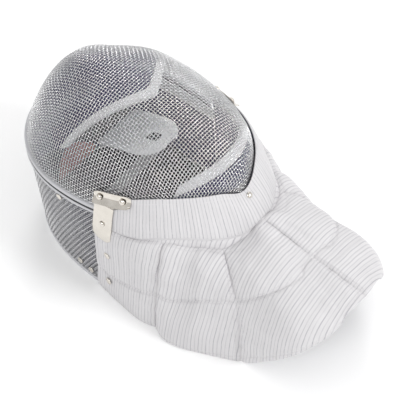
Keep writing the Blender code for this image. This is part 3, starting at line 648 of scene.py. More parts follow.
def webbing_material():
    """Dark elastic with one pale band along its rear edge."""
    made, tree, shader = new_material("strap_webbing", 0.85, sheen=0.2)
    cloth = cloth_coordinates(tree)
    weave = placed_group(tree, "plain_weave", Cloth=cloth, Threads_per_mm=0.8)
    parts = node(tree, "ShaderNodeSeparateXYZ")
    link(tree, cloth, parts.inputs[0])
    band_middle, band_half_width = 820 * STRAP_WIDTH, 7.0  # millimetres across the strap
    off_band = maths(tree, "ABSOLUTE", maths(tree, "SUBTRACT", parts.outputs[1], band_middle))
    band = maths(tree, "LESS_THAN", off_band, band_half_width)
    pale = mixed(tree, weave, (0.34, 0.34, 0.35), (0.62, 0.62, 0.64))
    dark = mixed(tree, weave, (0.008, 0.008, 0.010), (0.030, 0.030, 0.034))
    link(tree, mixed(tree, band, dark, pale), shader.inputs["Base Color"])
    bumped(tree, shader, weave, 0.0003)
    return made


def nickel_material():
    made, tree, shader = new_material("nickel", 0.25, 1.0)
    mottle = placed_group(tree, "soft_mottle", Patch_size=0.008, Grain_size=0.0006, Grain_share=0.4)
    tone = mixed(tree, mottle, (0.56, 0.53, 0.48), (0.80, 0.76, 0.70))
    link(tree, tone, shader.inputs["Base Color"])
    link(tree, maths(tree, "MULTIPLY_ADD", mottle, 0.22, 0.10), shader.inputs["Roughness"])
    bumped(tree, shader, mottle, 0.00006, 0.5)
    return made


GROUPS = {group.name: group for group in (
    soft_mottle_group(), weave_group(), pinstripe_group(), streak_group())}

STEEL = mottled_material("steel_wire", (0.70, 0.70, 0.71), (0.92, 0.92, 0.93), 0.27, 0.95, 0.03, 0.002)
# Painted shade: a darker copy of the steel for the upright side wires, standing in for the shade that light
# from above leaves on them
SHADED_STEEL = mottled_material("steel_wire_painted_shade", (0.30, 0.30, 0.31), (0.46, 0.46, 0.47), 0.4, 0.9,
                              0.03, 0.002)
BINDING = mottled_material("binding_grey", (0.40, 0.40, 0.42), (0.58, 0.58, 0.60), 0.42, 0.0, bump=0.0001)
# Painted shade: near-black finish for the floor of the groove between the bindings, where shade falls
GROOVE_SHADE = mottled_material("groove_painted_shade", (0.006, 0.006, 0.007), (0.02, 0.02, 0.022), 0.7)
LAME = lame_material()
NICKEL = nickel_material()
NAVY = woven_material("lining_navy", (0.010, 0.010, 0.035), (0.050, 0.046, 0.150), 0.9, 0.0002, 0.95, 0.1)
TAPE = woven_material("white_tape", (0.66, 0.66, 0.67), (0.88, 0.88, 0.89), 1.2, 0.0002)
COVER = woven_material("tongue_cover", (0.74, 0.74, 0.74), (0.92, 0.92, 0.92), 1.2, 0.00015)
STEM = mottled_material("tongue_vinyl", (0.60, 0.12, 0.11), (0.78, 0.26, 0.24), 0.5, bump=0.0002)
# Dark vinyl of the tongue's middle, also used as painted shade in the tongue's slot
DARK_VINYL_AND_SLOT_SHADE = mottled_material("dark_vinyl_and_slot_shade", (0.010, 0.010, 0.012), (0.035, 0.035, 0.040), 0.5, bump=0.0002)
WEBBING = webbing_material()
THREAD = mottled_material("seam_thread", (0.50, 0.49, 0.50), (0.70, 0.69, 0.70), 0.8, patch=0.01)


# Woven wire of the face and the side

def solved_points(guess, first, second, planes=None):
    """Points on the dome, a pitch from first and from second, or in a plane (normal, distance) instead."""
    points = guess.copy()
    for _ in range(8):
        slope = dome_slope(points)
        miss = np.empty_like(points)
        matrix = np.empty((len(points), 3, 3))
        miss[:, 0] = ((points - first) ** 2).sum(axis=1) - WIRE_PITCH ** 2
        matrix[:, 0] = 2 * (points - first)
        if planes is None:
            miss[:, 1] = ((points - second) ** 2).sum(axis=1) - WIRE_PITCH ** 2
            matrix[:, 1] = 2 * (points - second)
        else:
            normal, distance = planes
            miss[:, 1] = points @ normal - distance
            matrix[:, 1] = normal
        miss[:, 2] = dome_value(points)
        matrix[:, 2] = slope
        matrix += np.eye(3) * 1e-12
        points -= np.linalg.solve(matrix, miss[:, :, None])[:, :, 0]
    return points


def axis_line(start, step, plane_normal, count):
    """Points a pitch apart from start along the dome, in a plane through start."""
    normal = np.array(plane_normal, dtype=float)
    line = [np.array(start, dtype=float)]
    ahead = np.array(step, dtype=float)
    for _ in range(count):
        found = solved_points((line[-1] + ahead)[None], line[-1][None], None, (normal, normal @ line[0]))[0]
        ahead = found - line[-1]
        line.append(found)
    return line


def net_quarter(lengthwise, transverse):
    """Net of equal meshes between two of its own lines that cross at their first points."""
    rows, columns = len(lengthwise), len(transverse)
    net = np.full((rows, columns, 3), np.nan)
    net[:, 0] = lengthwise
    net[0, :] = transverse
    lowest = JOINT_HEIGHT - 14 * MM
    for diagonal in range(2, rows + columns - 1):
        rows_crossed = range(max(1, diagonal - columns + 1), min(rows, diagonal))
        spots = [(row, diagonal - row) for row in rows_crossed]
        spots = [(row, column) for row, column in spots
                 if np.isfinite(net[row - 1, column]).all() and np.isfinite(net[row, column - 1]).all()
                 and max(net[row - 1, column, 2], net[row, column - 1, 2]) > lowest]
        if not spots:
            continue
        row, column = np.array(spots).T
        first, second, corner = net[row - 1, column], net[row, column - 1], net[row - 1, column - 1]
        found = solved_points(first + second - corner, first, second)
        good = (abs(np.linalg.norm(found - first, axis=1) - WIRE_PITCH) < 0.05 * MM)
        good &= (np.linalg.norm(found - corner, axis=1) > 0.2 * WIRE_PITCH)
        found[~good] = np.nan
        net[row, column] = found
    return net


def face_net():
    """Crossings of the face's wires, indexed lengthwise from the chin and across from the near side."""
    top = np.array([[0.0, NET_CENTRE + CENTRE_SHIFT, JOINT_HEIGHT + FACE_RISE]])
    for _ in range(20):
        slope = dome_slope(top)
        top[:, 2] -= dome_value(top) / slope[:, 2]
    start = top[0]
    crown_meshes, chin_meshes, side_meshes = 62, 72, 60
    to_crown = axis_line(start, (0, WIRE_PITCH, 0), (1, 0, 0), crown_meshes)
    to_chin = axis_line(start, (0, -WIRE_PITCH, 0), (1, 0, 0), chin_meshes)
    outward = axis_line(start, (-WIRE_PITCH, 0, 0), (0, 1, 0), side_meshes)
    crown = net_quarter(to_crown, outward)
    chin = net_quarter(to_chin, outward)
    half = np.concatenate([chin[:0:-1], crown])
    other = half * np.array([-1.0, 1.0, 1.0])
    return np.concatenate([half[:, :0:-1], other], axis=1), len(to_chin) - 1, len(outward) - 1


def woven_line(points, normals, signs, crimp=WIRE_CRIMP):
    """A wire's middle line: over and under at the crossings, level half way between them."""
    crossings = points + normals * (signs * crimp)[:, None]
    middles = (points[1:] + points[:-1]) / 2
    line = np.empty((2 * len(points) - 1, 3))
    line[0::2] = crossings
    line[1::2] = middles
    lifts = np.empty_like(line)
    lifts[0::2] = normals
    lifts[1::2] = normals[1:] + normals[:-1]
    lifts /= np.linalg.norm(lifts, axis=1, keepdims=True)
    return line, lifts


def inside_runs(line, lifts, room):
    """Stretches of a line where room is above zero, each cut where room reaches zero."""
    def cut_between(kept, left):
        share = room[kept] / (room[kept] - room[left])
        return line[kept] + (line[left] - line[kept]) * share, lifts[kept]

    runs = []
    current = []
    for index in range(len(line)):
        if room[index] > 0:
            if not current and index > 0 and np.isfinite(room[index - 1]):
                current.append(cut_between(index, index - 1))
            current.append((line[index], lifts[index]))
        elif current:
            if np.isfinite(room[index]):
                current.append(cut_between(index - 1, index))
            runs.append(current)
            current = []
    if current:
        runs.append(current)
    return [(np.array([spot[0] for spot in run]), np.array([spot[1] for spot in run]))
            for run in runs if len(run) > 3]


class WireBuilder:
    """Gathers many round wires into one mesh."""

    def __init__(self, around=4):
        self.around = around
        self.vertices = []
        self.faces = []
        self.count = 0

    def add(self, line, lifts, radius=WIRE_RADIUS):
        tangent = np.gradient(line, axis=0)
        tangent /= np.linalg.norm(tangent, axis=1, keepdims=True)
        sideways = np.cross(tangent, lifts)
        sideways /= np.linalg.norm(sideways, axis=1, keepdims=True)
        upward = np.cross(sideways, tangent)
        angles = 2 * np.pi * np.arange(self.around) / self.around
        rings = (line[:, None] + radius * (np.cos(angles)[None, :, None] * upward[:, None]
                                           + np.sin(angles)[None, :, None] * sideways[:, None]))
        self.vertices.append(rings.reshape(-1, 3))
        base = self.count + self.around * np.arange(len(line) - 1)[:, None]
        here = np.arange(self.around)[None]
        after = (here + 1) % self.around
        ahead = base + self.around
        quads = np.stack([base + here, base + after, ahead + after, ahead + here], axis=2)
        self.faces.extend(map(tuple, quads.reshape(-1, 4).tolist()))
        first = self.count
        self.count += self.around * len(line)
        self.faces.append(tuple(range(first + self.around - 1, first - 1, -1)))
        self.faces.append(tuple(range(self.count - self.around, self.count)))

    def piece(self, name, finish=None):
        return add_piece(name, np.concatenate(self.vertices), self.faces, finish or STEEL)


def build_face_wires():
    net, centre_row, centre_column = face_net()
    rows, columns = net.shape[:2]
    known = np.isfinite(net).all(axis=2)
    normals = np.full_like(net, np.nan)
    normals[known] = dome_normal(net[known])
    steps_away = np.add.outer(np.arange(rows) - centre_row, np.arange(columns) - centre_column)
    sign = np.where(steps_away % 2 == 0, 1.0, -1.0)
    end_above_joint = 1.6 * MM
    families = (("face_wires_lengthwise", 1.0, [(slice(None), column) for column in range(columns)]),
                ("face_wires_across", -1.0, [(row, slice(None)) for row in range(rows)]))
    for name, side, lines in families:
        builder = WireBuilder()
        for where in lines:
            present = known[where]
            if present.sum() < 4:
                continue
            first = int(np.argmax(present))
            last = len(present) - int(np.argmax(present[::-1]))
            points, ups, signs = (values[where][first:last] for values in (net, normals, sign))
            line, lifts = woven_line(points, ups, signs * side)
            room = line[:, 2] - joint_height(line[:, 1] - CENTRE_SHIFT) - end_above_joint
            room[~np.isfinite(line).all(axis=1)] = np.nan
            for run, run_lifts in inside_runs(line, lifts, room):
                builder.add(run, run_lifts)
        piece = builder.piece(name)
        dress("front_mesh")


def side_band(steps=240):
    """Upper and lower line of the side mesh with the length along it."""
    start = CHEEK_LINE - CHEEK_OVERLAP
    upper, lower = (point_array(plan_line(line, start, steps)) for line in (joint_line, rim_line))
    middle = (upper + lower) / 2
    length = np.concatenate([[0.0], np.cumsum(np.linalg.norm(np.diff(middle[:, :2], axis=0), axis=1))])
    return upper, lower, length


def build_side_wires():
    upper, lower, length = side_band()
    total = length[-1]
    lay = math.radians(SIDE_LAY)
    directions = (np.array((math.cos(lay), -math.sin(lay))), np.array((math.sin(lay), math.cos(lay))))
    foot = 2.6 * MM
    top_inset = FACE_BINDING_HEIGHT / 2 + GROOVE_WIDTH + SIDE_BINDING_HEIGHT - 1.6 * MM

    def at_length(along, line):
        return np.stack([np.interp(along, length, line[:, axis]) for axis in range(3)], axis=1)

    def at(flat):
        along = np.clip(flat[:, 0], 0.0, total)
        high, low = at_length(along, upper), at_length(along, lower)
        share = ((high[:, 2] - flat[:, 1]) / (high[:, 2] - low[:, 2]))[:, None]
        point = high + (low - high) * share
        step = 0.5 * MM
        ahead = at_length(along + step, upper) - at_length(along - step, upper)
        normal = np.cross(high - low, ahead)
        normal /= np.linalg.norm(normal, axis=1, keepdims=True)
        outward = point - np.array([0.0, CENTRE_SHIFT, 0.0])
        outward[:, 2] = 0
        normal *= np.sign((normal * outward).sum(axis=1))[:, None]
        room = np.minimum.reduce([flat[:, 0], total - flat[:, 0], flat[:, 1] - foot,
                                  high[:, 2] - top_inset - flat[:, 1]])
        return point, normal, room

    reach = int((total + JOINT_HEIGHT) / SIDE_PITCH) + 4
    for number, name in enumerate(("side_wires_around", "side_wires_upright")):
        run_along, step_across = directions[number], directions[1 - number]
        side = 1.0 if number == 0 else -1.0
        builder = WireBuilder()
        for wire in range(-reach, reach):
            spots = np.arange(-reach, reach)
            flat = SIDE_PITCH * (spots[:, None] * run_along + wire * step_across)
            keep = ((flat[:, 0] > -2 * SIDE_PITCH) & (flat[:, 0] < total + 2 * SIDE_PITCH)
                    & (flat[:, 1] > -2 * SIDE_PITCH) & (flat[:, 1] < JOINT_HEIGHT + JOINT_CHIN_LIFT))
            if keep.sum() < 3:
                continue
            points, ups, room = at(flat[keep])
            signs = np.where((spots[keep] + wire) % 2 == 0, 1.0, -1.0) * side
            line, lifts = woven_line(points, ups, signs, SIDE_CRIMP)
            rooms = np.empty(len(line))
            rooms[0::2] = room
            rooms[1::2] = (room[1:] + room[:-1]) / 2
            for run, run_lifts in inside_runs(line, lifts, rooms):
                builder.add(run, run_lifts, SIDE_WIRE_RADIUS)
        # The upright wires take the painted-shade copy of the steel
        piece = builder.piece(name, STEEL if number == 0 else SHADED_STEEL)
        dress("side_mesh")


def side_strip(name, top_drop, depth, thickness, finish, height=None):
    """Strip of cloth behind the side mesh, from cheek to cheek: whole, or a tape of the given height."""
    upper, lower, _ = side_band(150)
    foot = RIM_BINDING_HEIGHT + GAP
    inward = -point_array(plan_normals([Vector(point) for point in upper]))
    rows = []
    for share in np.linspace(0.0, 1.0, 13 if height is None else 4):
        top = upper[:, 2] - top_drop
        level = top * (1 - share) + foot * share if height is None else top - height * share
        down = ((upper[:, 2] - level) / (upper[:, 2] - lower[:, 2]))[:, None]
        line = upper + (lower - upper) * down
        rows.append(line + inward * depth)
    made = shell_piece(name, rows, thickness, finish, rim=0.8)
    width, drop = cloth_map(made, rows)
    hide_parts("side_mesh")
    return made


def build_side_lining():
    drop = FACE_BINDING_HEIGHT / 2 + GROOVE_WIDTH
    side_strip("side_lining", drop, 1.9 * MM, 0.8 * MM, NAVY)
    side_strip("side_lining_tape", drop, 2.9 * MM, 0.8 * MM, TAPE, height=SIDE_TAPE_HEIGHT)


# Bindings

def build_bindings():
    steps = 220
    half = FACE_BINDING_HEIGHT / 2
    inner, outer = -BINDING_THICKNESS / 2, BINDING_THICKNESS / 2
    path = plan_line(joint_line, BINDING_START, steps)
    outward = plan_normals(path)
    face_section = rounded_section(inner, outer, GROOVE_EASE - half, half, 1.3 * MM)
    made = swept_piece("face_binding", path, outward, face_section, BINDING)
    dress("front_binding")
    # Painted shade: a near-black strip lines the groove between the face and side bindings
    groove_floor = outer - GROOVE_DEPTH
    low, high = -half - GROOVE_WIDTH - GROOVE_EASE, GROOVE_EASE - half
    floor_section = ((inner, low), (groove_floor, low), (groove_floor, high), (inner, high))
    made = swept_piece("groove_shade_strip", path, outward, floor_section, GROOVE_SHADE)
    dress("front_binding")
    top = -half - GROOVE_WIDTH
    side_section = rounded_section(inner, outer, top - SIDE_BINDING_HEIGHT, top - GROOVE_EASE, 1.1 * MM)
    made = swept_piece("side_mesh_binding", path, outward, side_section, BINDING)
    dress("side_binding")
    path = plan_line(rim_line, BINDING_START, steps)
    half = RIM_BINDING_THICKNESS / 2
    rim_section = rounded_section(-half, half, 0.0, RIM_BINDING_HEIGHT, 1.2 * MM)
    made = swept_piece("rim_binding", path, plan_normals(path), rim_section, BINDING)
    dress("rear_binding")


# Collar and bib

def rib_value(column, position):
    values = [row[column] for row in BIB_RIBS]
    crosses_over = column in ("edge_direction", "seam_across", "hem_across")
    past_middle = 2 * values[-1] - values[-2] if crosses_over else values[-2]
    return float(blend_column(values, position, 2 * values[0] - values[1], past_middle))


def ahead_of_seam(column, position):
    lengths = [row[column] * (BIB_LENGTH if row[column] > 0 else CHEEK_LENGTH) for row in BIB_RIBS]
    return float(blend_column(lengths, position, 2 * lengths[0] - lengths[1], lengths[-2]))


class Rib:
    """Everything that the bib's shape needs at one position between the cheek and the middle."""

    known = {}

    def __init__(self, position):
        chin_seam = CENTRE_SHIFT - CHIN_REACH - SEAM_CHIN_STANDOFF
        self.seam, self.hem = (
            Vector((-BIB_HALF_WIDTH * max(rib_value(f"{line}_across", position), 0.0),
                    chin_seam - ahead_of_seam(f"{line}_ahead", position),
                    SEAM_HEIGHT * rib_value(f"{line}_up", position))) for line in ("seam", "hem"))
        self.hem.z = max(self.hem.z, HEM_LIFT)
        self.edge = outside_face(rib_value("edge_direction", position), rib_value("edge_level", position),
                                 COLLAR_STANDOFF)
        self.power = max(rib_value("round", position), 1.0)
        self.cross = rib_value("cross", position)
        self.sewn = min(rib_value("sewn", position), 1.0)

    @classmethod
    def at(cls, position):
        key = round(position, 4)
        if key not in cls.known:
            cls.known[key] = cls(position)
        return cls.known[key]

    def spot(self, share):
        angle = math.pi / 2 * share
        outward = downward = share
        if self.power >= 1.02:
            blend = min((self.power - 1.0) / 0.5, 1.0)
            outward = (1 - blend) * share + blend * math.sin(angle) ** (2 / self.power)
            downward = (1 - blend) * share + blend * (1 - max(math.cos(angle), 0.0) ** (2 / self.power))
        return Vector((self.seam.x + (self.hem.x - self.seam.x) * outward,
                       self.seam.y + (self.hem.y - self.seam.y) * outward,
                       self.seam.z + (self.hem.z - self.seam.z) * downward))


def quilt_height(position, share):
    """Height of the padded panels: flat at the seams, full between them."""
    panel = min(int(position / 2), len(PANEL_PUFF) - 1)
    across = math.sin(math.pi * (position / 2 - panel))
    cross = Rib.at(position).cross
    if share < cross:
        along = math.sin(math.pi * share / cross)
    else:
        along = math.sin(0.72 * math.pi * (share - cross) / (1 - cross))
    return QUILT_PUFF * PANEL_PUFF[panel] * max(across, 0.0) ** 0.5 * max(along, 0.0) ** 0.6


def bib_frame(position, share):
    """Point of the bib before quilting, with its outward direction."""
    step = 0.02
    low, high = max(position - step, 0.0), min(position + step, LAST_RIB)
    near, far = max(share - step, 0.0), min(share + step, 1.0)
    across = Rib.at(high).spot(share) - Rib.at(low).spot(share)
    down = Rib.at(position).spot(far) - Rib.at(position).spot(near)
    normal = down.cross(across).normalized()
    spot = Rib.at(position).spot(share)
    if normal.dot(spot - BIB_INSIDE) < 0:
        normal = -normal
    return spot, normal


def bib_point(position, share, lift=0.0):
    spot, normal = bib_frame(position, share)
    point = spot + normal * (quilt_height(position, share) + lift)
    point.z = max(point.z, HEM_LIFT)
    if position >= LAST_RIB:
        point.x = 0.0
    return point


def collar_point(position, share, lift=0.0):
    rib = Rib.at(position)
    point = rib.edge.lerp(rib.seam, share)
    outward = Vector((point.x, point.y - CENTRE_SHIFT, 0.0)).normalized()
    ahead = min(position / 2, 1.0)
    point += outward * (COLLAR_BULGE * ahead * math.sin(math.pi * share) + lift)
    if position >= LAST_RIB:
        point.x = 0.0
    return point


def groove(distance, width, depth):
    """Depth of a sewn line at a distance from it."""
    return -depth * math.exp(-(distance / width) ** 2)


def bib_relief(position, share, spot):
    """Fine relief of the bib: sewn lines pull in, the cloth puckers beside them and falls in soft folds."""
    length, rib_spacing = 118 * MM, 30 * MM
    nearest = min(abs(position - rib) for rib in SEAM_RIBS) * rib_spacing
    cross = abs(share - Rib.at(position).cross) * length
    relief = groove(nearest, 1.5 * MM, 0.9 * MM) + groove(cross, 1.5 * MM, 0.9 * MM)
    relief += groove((share - HEM_SEAMS[0]) * length, 1.3 * MM, 0.6 * MM)
    relief += groove((share - HEM_SEAMS[1]) * length, 1.2 * MM, 0.5 * MM)
    pucker = noise.noise(spot / (9 * MM)) + 0.5 * noise.noise(spot / (4 * MM))
    near_seam = math.exp(-min(nearest, cross) / (8 * MM))
    relief += 0.6 * MM * pucker * (0.4 + near_seam)
    slanted = Vector((spot.x + 0.6 * spot.z, 0.4 * spot.y, spot.z - 0.3 * spot.x))
    relief += 1.7 * MM * noise.noise(slanted / (21 * MM) + Vector((3.0, 1.0, 7.0)))
    return relief


def cloth_point(position, share, lift=0.0):
    """Point of the finished bib surface below the collar's seam."""
    spot = Rib.at(position).spot(share)
    relief = bib_relief(position, share, spot) * min(share / 0.05, 1.0)
    return bib_point(position, share, relief + lift)


def collar_cloth_point(position, share, lift=0.0):
    """Point of the finished collar surface."""
    sewn = (share - Rib.at(position).sewn) * COLLAR_HEIGHT * MM
    edge = 0.5 * MM * math.exp(-(share / 0.06) ** 2)
    pull = groove(sewn, 1.4 * MM, 0.8 * MM) + groove((share - 1.0) * COLLAR_HEIGHT * MM, 1.4 * MM, 0.3 * MM)
    wave = 0.5 * MM * noise.noise(collar_point(position, share) / (14 * MM)) * min(share * 5, 1.0)
    return collar_point(position, share, edge + pull + wave + lift)


def bearing(point):
    """Plan bearing of a point round the middle of the collar, growing from the cheek to the chin."""
    return math.atan2(COLLAR_MIDDLE + CENTRE_SHIFT - point.y, -point.x)


def build_bib():
    half_steps, collar_rows, seam_rows, bib_rows = 165, 16, 5, 96
    positions = [LAST_RIB * step / half_steps for step in range(half_steps + 1)]
    rows = []
    coordinates = []
    walk = [0.0]
    for first, second in zip(positions, positions[1:]):
        walk.append(walk[-1] + (collar_point(second, 0.5) - collar_point(first, 0.5)).length)
    bearings = [bearing(collar_point(position, 0.5)) for position in positions]
    from_middle = [(walk[-1] - step) / MM for step in walk]
    for row in range(collar_rows):
        shares = [Rib.at(position).sewn * row / collar_rows for position in positions]
        line = [collar_cloth_point(position, share) for position, share in zip(positions, shares)]
        rows.append(line)
        coordinates.append([(STRIPE_SPREAD * float(np.interp(bearing(point), bearings, from_middle)),
                             share * COLLAR_HEIGHT) for point, share in zip(line, shares)])
    lower = []
    for row in range(seam_rows):
        sewn_lines = [Rib.at(position).sewn for position in positions]
        lower.append([collar_cloth_point(position, sewn + (1 - sewn) * row / seam_rows)
                      for position, sewn in zip(positions, sewn_lines)])
    for row in range(bib_rows + 1):
        lower.append([cloth_point(position, row / bib_rows) for position in positions])
    for line in lower:
        rows.append(line)
        coordinates.append([(-STRIPE_SPREAD * point.y / MM, math.hypot(point.x, point.z) / MM)
                            for point in line])
    whole = []
    whole_coordinates = []
    for line, place in zip(rows, coordinates):
        far = [Vector((-point.x, point.y, point.z)) for point in line[-2::-1]]
        whole.append(line + far)
        whole_coordinates.append(place + [(-spot[0] if len(whole) <= collar_rows else spot[0], -spot[1])
                                          for spot in place[-2::-1]])
    made = shell_piece("bib_cloth", whole, BIB_THICKNESS, LAME, rim=0.6, backing=NAVY)
    flat = np.array(whole_coordinates).reshape(-1, 2)
    write_cloth_coordinates(made, flat)
    dress("bib")
    return made


class StitchBuilder:
    """Gathers many short thread stitches into one mesh."""

    def __init__(self):
        self.vertices = []
        self.faces = []

    def stitch(self, start, end, normal):
        """One stitch as a thread that comes out of the cloth, runs on it and goes back in."""
        around = 5
        radius = 0.32 * MM
        across = (end - start).cross(normal).normalized()
        base = len(self.vertices)
        profile = ((0.0, 0.35, -0.8), (0.15, 0.9, 0.1), (0.5, 1.0, 0.4), (0.85, 0.9, 0.1), (1.0, 0.35, -0.8))
        for share, width, rise in profile:
            middle = start.lerp(end, share) + normal * radius * rise
            for step in range(around):
                angle = 2 * math.pi * step / around
                spoke = across * math.cos(angle) + normal * math.sin(angle)
                self.vertices.append(middle + radius * width * spoke)
        for ring in range(len(profile) - 1):
            for step in range(around):
                here = base + ring * around + step
                after = base + ring * around + (step + 1) % around
                self.faces.append((here, after, after + around, here + around))
        self.faces.append(tuple(base + step for step in reversed(range(around))))
        last = base + (len(profile) - 1) * around
        self.faces.append(tuple(last + step for step in range(around)))

    def row(self, path, normals, length=2.3 * MM, gap=1.2 * MM):
        """Stitches at an even pitch along a path on the cloth, on the near and the far half of the mask."""
        walk = np.concatenate([[0.0], np.cumsum([(b - a).length for a, b in zip(path, path[1:])])])
        points, ups = point_array(path), point_array(normals)

        def at(values, distance):
            return Vector([float(np.interp(distance, walk, values[:, axis])) for axis in range(3)])

        distance = gap
        while distance + length < walk[-1]:
            start, end = at(points, distance), at(points, distance + length)
            normal = at(ups, distance + length / 2).normalized()
            self.stitch(start, end, normal)
            if max(abs(start.x), abs(end.x)) > 0.4 * MM:
                mirror = Vector((-1, 1, 1))
                self.stitch(start * mirror, end * mirror, normal * mirror)
            distance += length + gap


def build_stitches():
    builder = StitchBuilder()
    lift = BIB_THICKNESS / 2 + 0.1 * MM
    beside = 0.065
    steps = 90

    def along_bib(positions, shares):
        path = [cloth_point(position, share, lift) for position, share in zip(positions, shares)]
        builder.row(path, [bib_frame(position, share)[1] for position, share in zip(positions, shares)])

    for rib in SEAM_RIBS:
        offsets = (-beside, beside) if rib < LAST_RIB else (-beside,)
        for offset in offsets:
            along_bib([rib + offset] * (steps + 1), np.linspace(0.07, 0.95, steps + 1))
    positions = np.linspace(0.15, LAST_RIB - 0.02, 3 * steps)
    for offset in (-0.016, 0.016):
        along_bib(positions, [Rib.at(position).cross + offset for position in positions])
    for share in HEM_SEAMS:
        along_bib(positions, [share] * len(positions))
    for share_of in (lambda position: 0.09, lambda position: Rib.at(position).sewn - 0.05):
        path = [collar_cloth_point(position, share_of(position), lift) for position in positions]
        normals = [Vector((point.x, point.y - CENTRE_SHIFT, 0.0)).normalized() for point in path]
        builder.row(path, normals)
    made = add_piece("bib_stitches", builder.vertices, builder.faces, THREAD)
    dress("bib")
    return made


# Cheek brackets

def plate_point(place, share, side):
    """Point on the bracket plate, place running from 0 at its rear to 1 at its front."""
    column = place * (len(BRACKET_PLATE) - 1)
    direction, top, bottom = (straight_ended(line, column) for line in BRACKET_PLATE.T)
    bend = max(share - BEND_START, 0.0) / (1 - BEND_START)
    return outside_face(direction, top + (bottom - top) * share, PLATE_STANDOFF + BEND_DEPTH * bend, side)


def bib_at_height(position, height):
    rib = Rib.at(position)
    if height >= rib.seam.z:
        return collar_point(position, max((rib.edge.z - height) / (rib.edge.z - rib.seam.z), 0.0))
    return bib_point(position, halved(0.0, 1.0, 18, lambda share: rib.spot(share).z > height)[0])


def cheek_across(along, height):
    near = halved(0.0, 2.0, 16, lambda position: bib_at_height(position, height).y > along)[0]
    return abs(bib_at_height(near, height).x)


def leg_point(down, ahead, side):
    """Point on the bracket leg: down and ahead run from 0 to 1."""
    row = down * (len(BRACKET_LEG) - 1)
    up = straight_ended(BRACKET_LEG, row)
    along = CENTRE_SHIFT + LEG_REAR + (LEG_FRONT - LEG_REAR) * ahead
    height = JOINT_HEIGHT * up
    height += LEG_CORNER * abs(2 * ahead - 1) ** 3 * max(down * 5 - 4, 0.0)
    return Vector((side * (cheek_across(along, height) + LEG_STANDOFF), along, height))


def build_bracket(word, side):
    plate_rows, leg_rows = 8, 22
    across = [column / 24 for column in range(25)]
    rows = [[plate_point(place, row / plate_rows, side) for place in across] for row in range(plate_rows + 1)]
    rows += [[leg_point(row / leg_rows, place, side) for place in across] for row in range(leg_rows + 1)]
    made = shell_piece(f"bracket_{word}", rows, PLATE_THICKNESS, NICKEL, rim=0.55, smooth_angle=22)
    dress(f"cheek_bracket_{word}")


# Fasteners

def build_fastener(name, profile):
    """Turned head in the place of the CAD node: profile is (share of radius, share of rise)."""
    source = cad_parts[name]
    points = np.array([tuple(source.matrix_world @ vertex.co) for vertex in source.data.vertices])
    points = np.unique(np.round(points, 7), axis=0)
    centre = points.mean(axis=0)
    axis = np.linalg.eigh(np.cov((points - centre).T))[1][:, 0]
    reach = (points - centre) @ axis
    radial = np.linalg.norm((points - centre) - np.outer(reach, axis), axis=1)
    wide = radial > 0.9 * radial.max()
    if reach[wide].mean() > 0:
        axis, reach = -axis, -reach
    seat = centre + axis * reach.min()
    radius, rise = radial[wide].max(), reach.max() - reach.min()
    across = np.cross(axis, (0.0, 0.0, 1.0))
    across /= np.linalg.norm(across)
    along = np.cross(axis, across)
    around = 28
    angles = 2 * np.pi * np.arange(around) / around
    vertices = []
    for share, height in profile:
        ring = seat + radius * share * (np.cos(angles)[:, None] * across + np.sin(angles)[:, None] * along)
        vertices.extend(ring + axis * rise * height)
    faces = [tuple(reversed(face)) for face in grid_faces(len(profile), around, closed=True)]
    tip = len(vertices)
    vertices.append(seat + axis * rise * profile[-1][1])
    last = (len(profile) - 1) * around
    faces += [(last + index, last + (index + 1) % around, tip) for index in range(around)]
    faces.append(tuple(reversed(range(around))))
    made = add_piece(f"{name}_head", vertices, faces, NICKEL, smooth_angle=60)
    dress(name)


def build_fasteners():
    dome = ((1.0, 0.0), (1.0, 0.16), (0.97, 0.30), (0.88, 0.52), (0.74, 0.72), (0.55, 0.87), (0.33, 0.96),
            (0.14, 1.0))
    cup = ((1.0, 0.0), (1.0, 0.22), (0.96, 0.42), (0.86, 0.60), (0.66, 0.80), (0.42, 0.94), (0.20, 1.0))
    names = [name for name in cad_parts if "rivet" in name or "stud" in name]
    for name in sorted(names):
        build_fastener(name, cup if name.startswith(("bib", "mesh")) else dome)


# Inside of the mask

def inside_face(across, along, depth):
    side = -1.0 if across <= 0 else 1.0
    direction = math.degrees(math.atan2(along, abs(across)))
    share = min(math.hypot(across, along) / face_radius(direction), 1.0)
    level = max(1.0 - share ** form_at(direction, "top"), 0.0) ** (1 / form_at(direction, "wall"))
    return outside_face(direction, level, -depth, side)


def lining_path(start, turn, to_rim):
    joint = turned_point(joint_line, turn)
    steps = 30
    path = []
    for step in range(steps + 1):
        share = LINING_STOP * math.sin(math.pi / 2 * step / steps)
        across = start[0] + (joint.x - start[0]) * share
        along = start[1] + (joint.y - CENTRE_SHIFT - start[1]) * share
        depth = LINING_DEPTH + (BINDING_DEPTH - LINING_DEPTH) * share ** 6
        path.append(inside_face(across, along, depth))
    if to_rim:
        rim = turned_point(rim_line, turn)
        inward = Vector((rim.x, rim.y - CENTRE_SHIFT - RIM_WIDEST_BEHIND_FACE, 0.0)).normalized()
        foot = rim - inward * BINDING_DEPTH
        foot.z = LINING_FOOT
        path.append(foot)
    return path


def point_along(path, length):
    left = length
    for first, second in zip(path, path[1:]):
        piece = (second - first).length
        if left <= piece:
            return first.lerp(second, left / piece)
        left -= piece
    return path[-1]


def path_length(path):
    return sum((second - first).length for first, second in zip(path, path[1:]))


def build_lining(word, paths, rows_count):
    start = TAPE_WIDTH + TAPE_CLEARANCE
    rows = []
    for row in range(rows_count + 1):
        share = row / rows_count
        rows.append([point_along(path, start + (path_length(path) - start) * share) for path in paths])
    pad = shell_piece(f"{word}_padding", rows, LINING_THICKNESS, NAVY, rim=0.5)
    cloth_map(pad, rows)
    dress(f"lining_{word}")
    shares = (0.0, 0.06, 0.2, 0.5, 0.8, 0.94, 1.0)
    rows = [[point_along(path, TAPE_WIDTH * share) for path in paths] for share in shares]
    tape = shell_piece(f"{word}_edge_tape", rows, TAPE_THICKNESS, TAPE, rim=0.55)
    cloth_map(tape, rows)
    dress(f"tape_{word}")


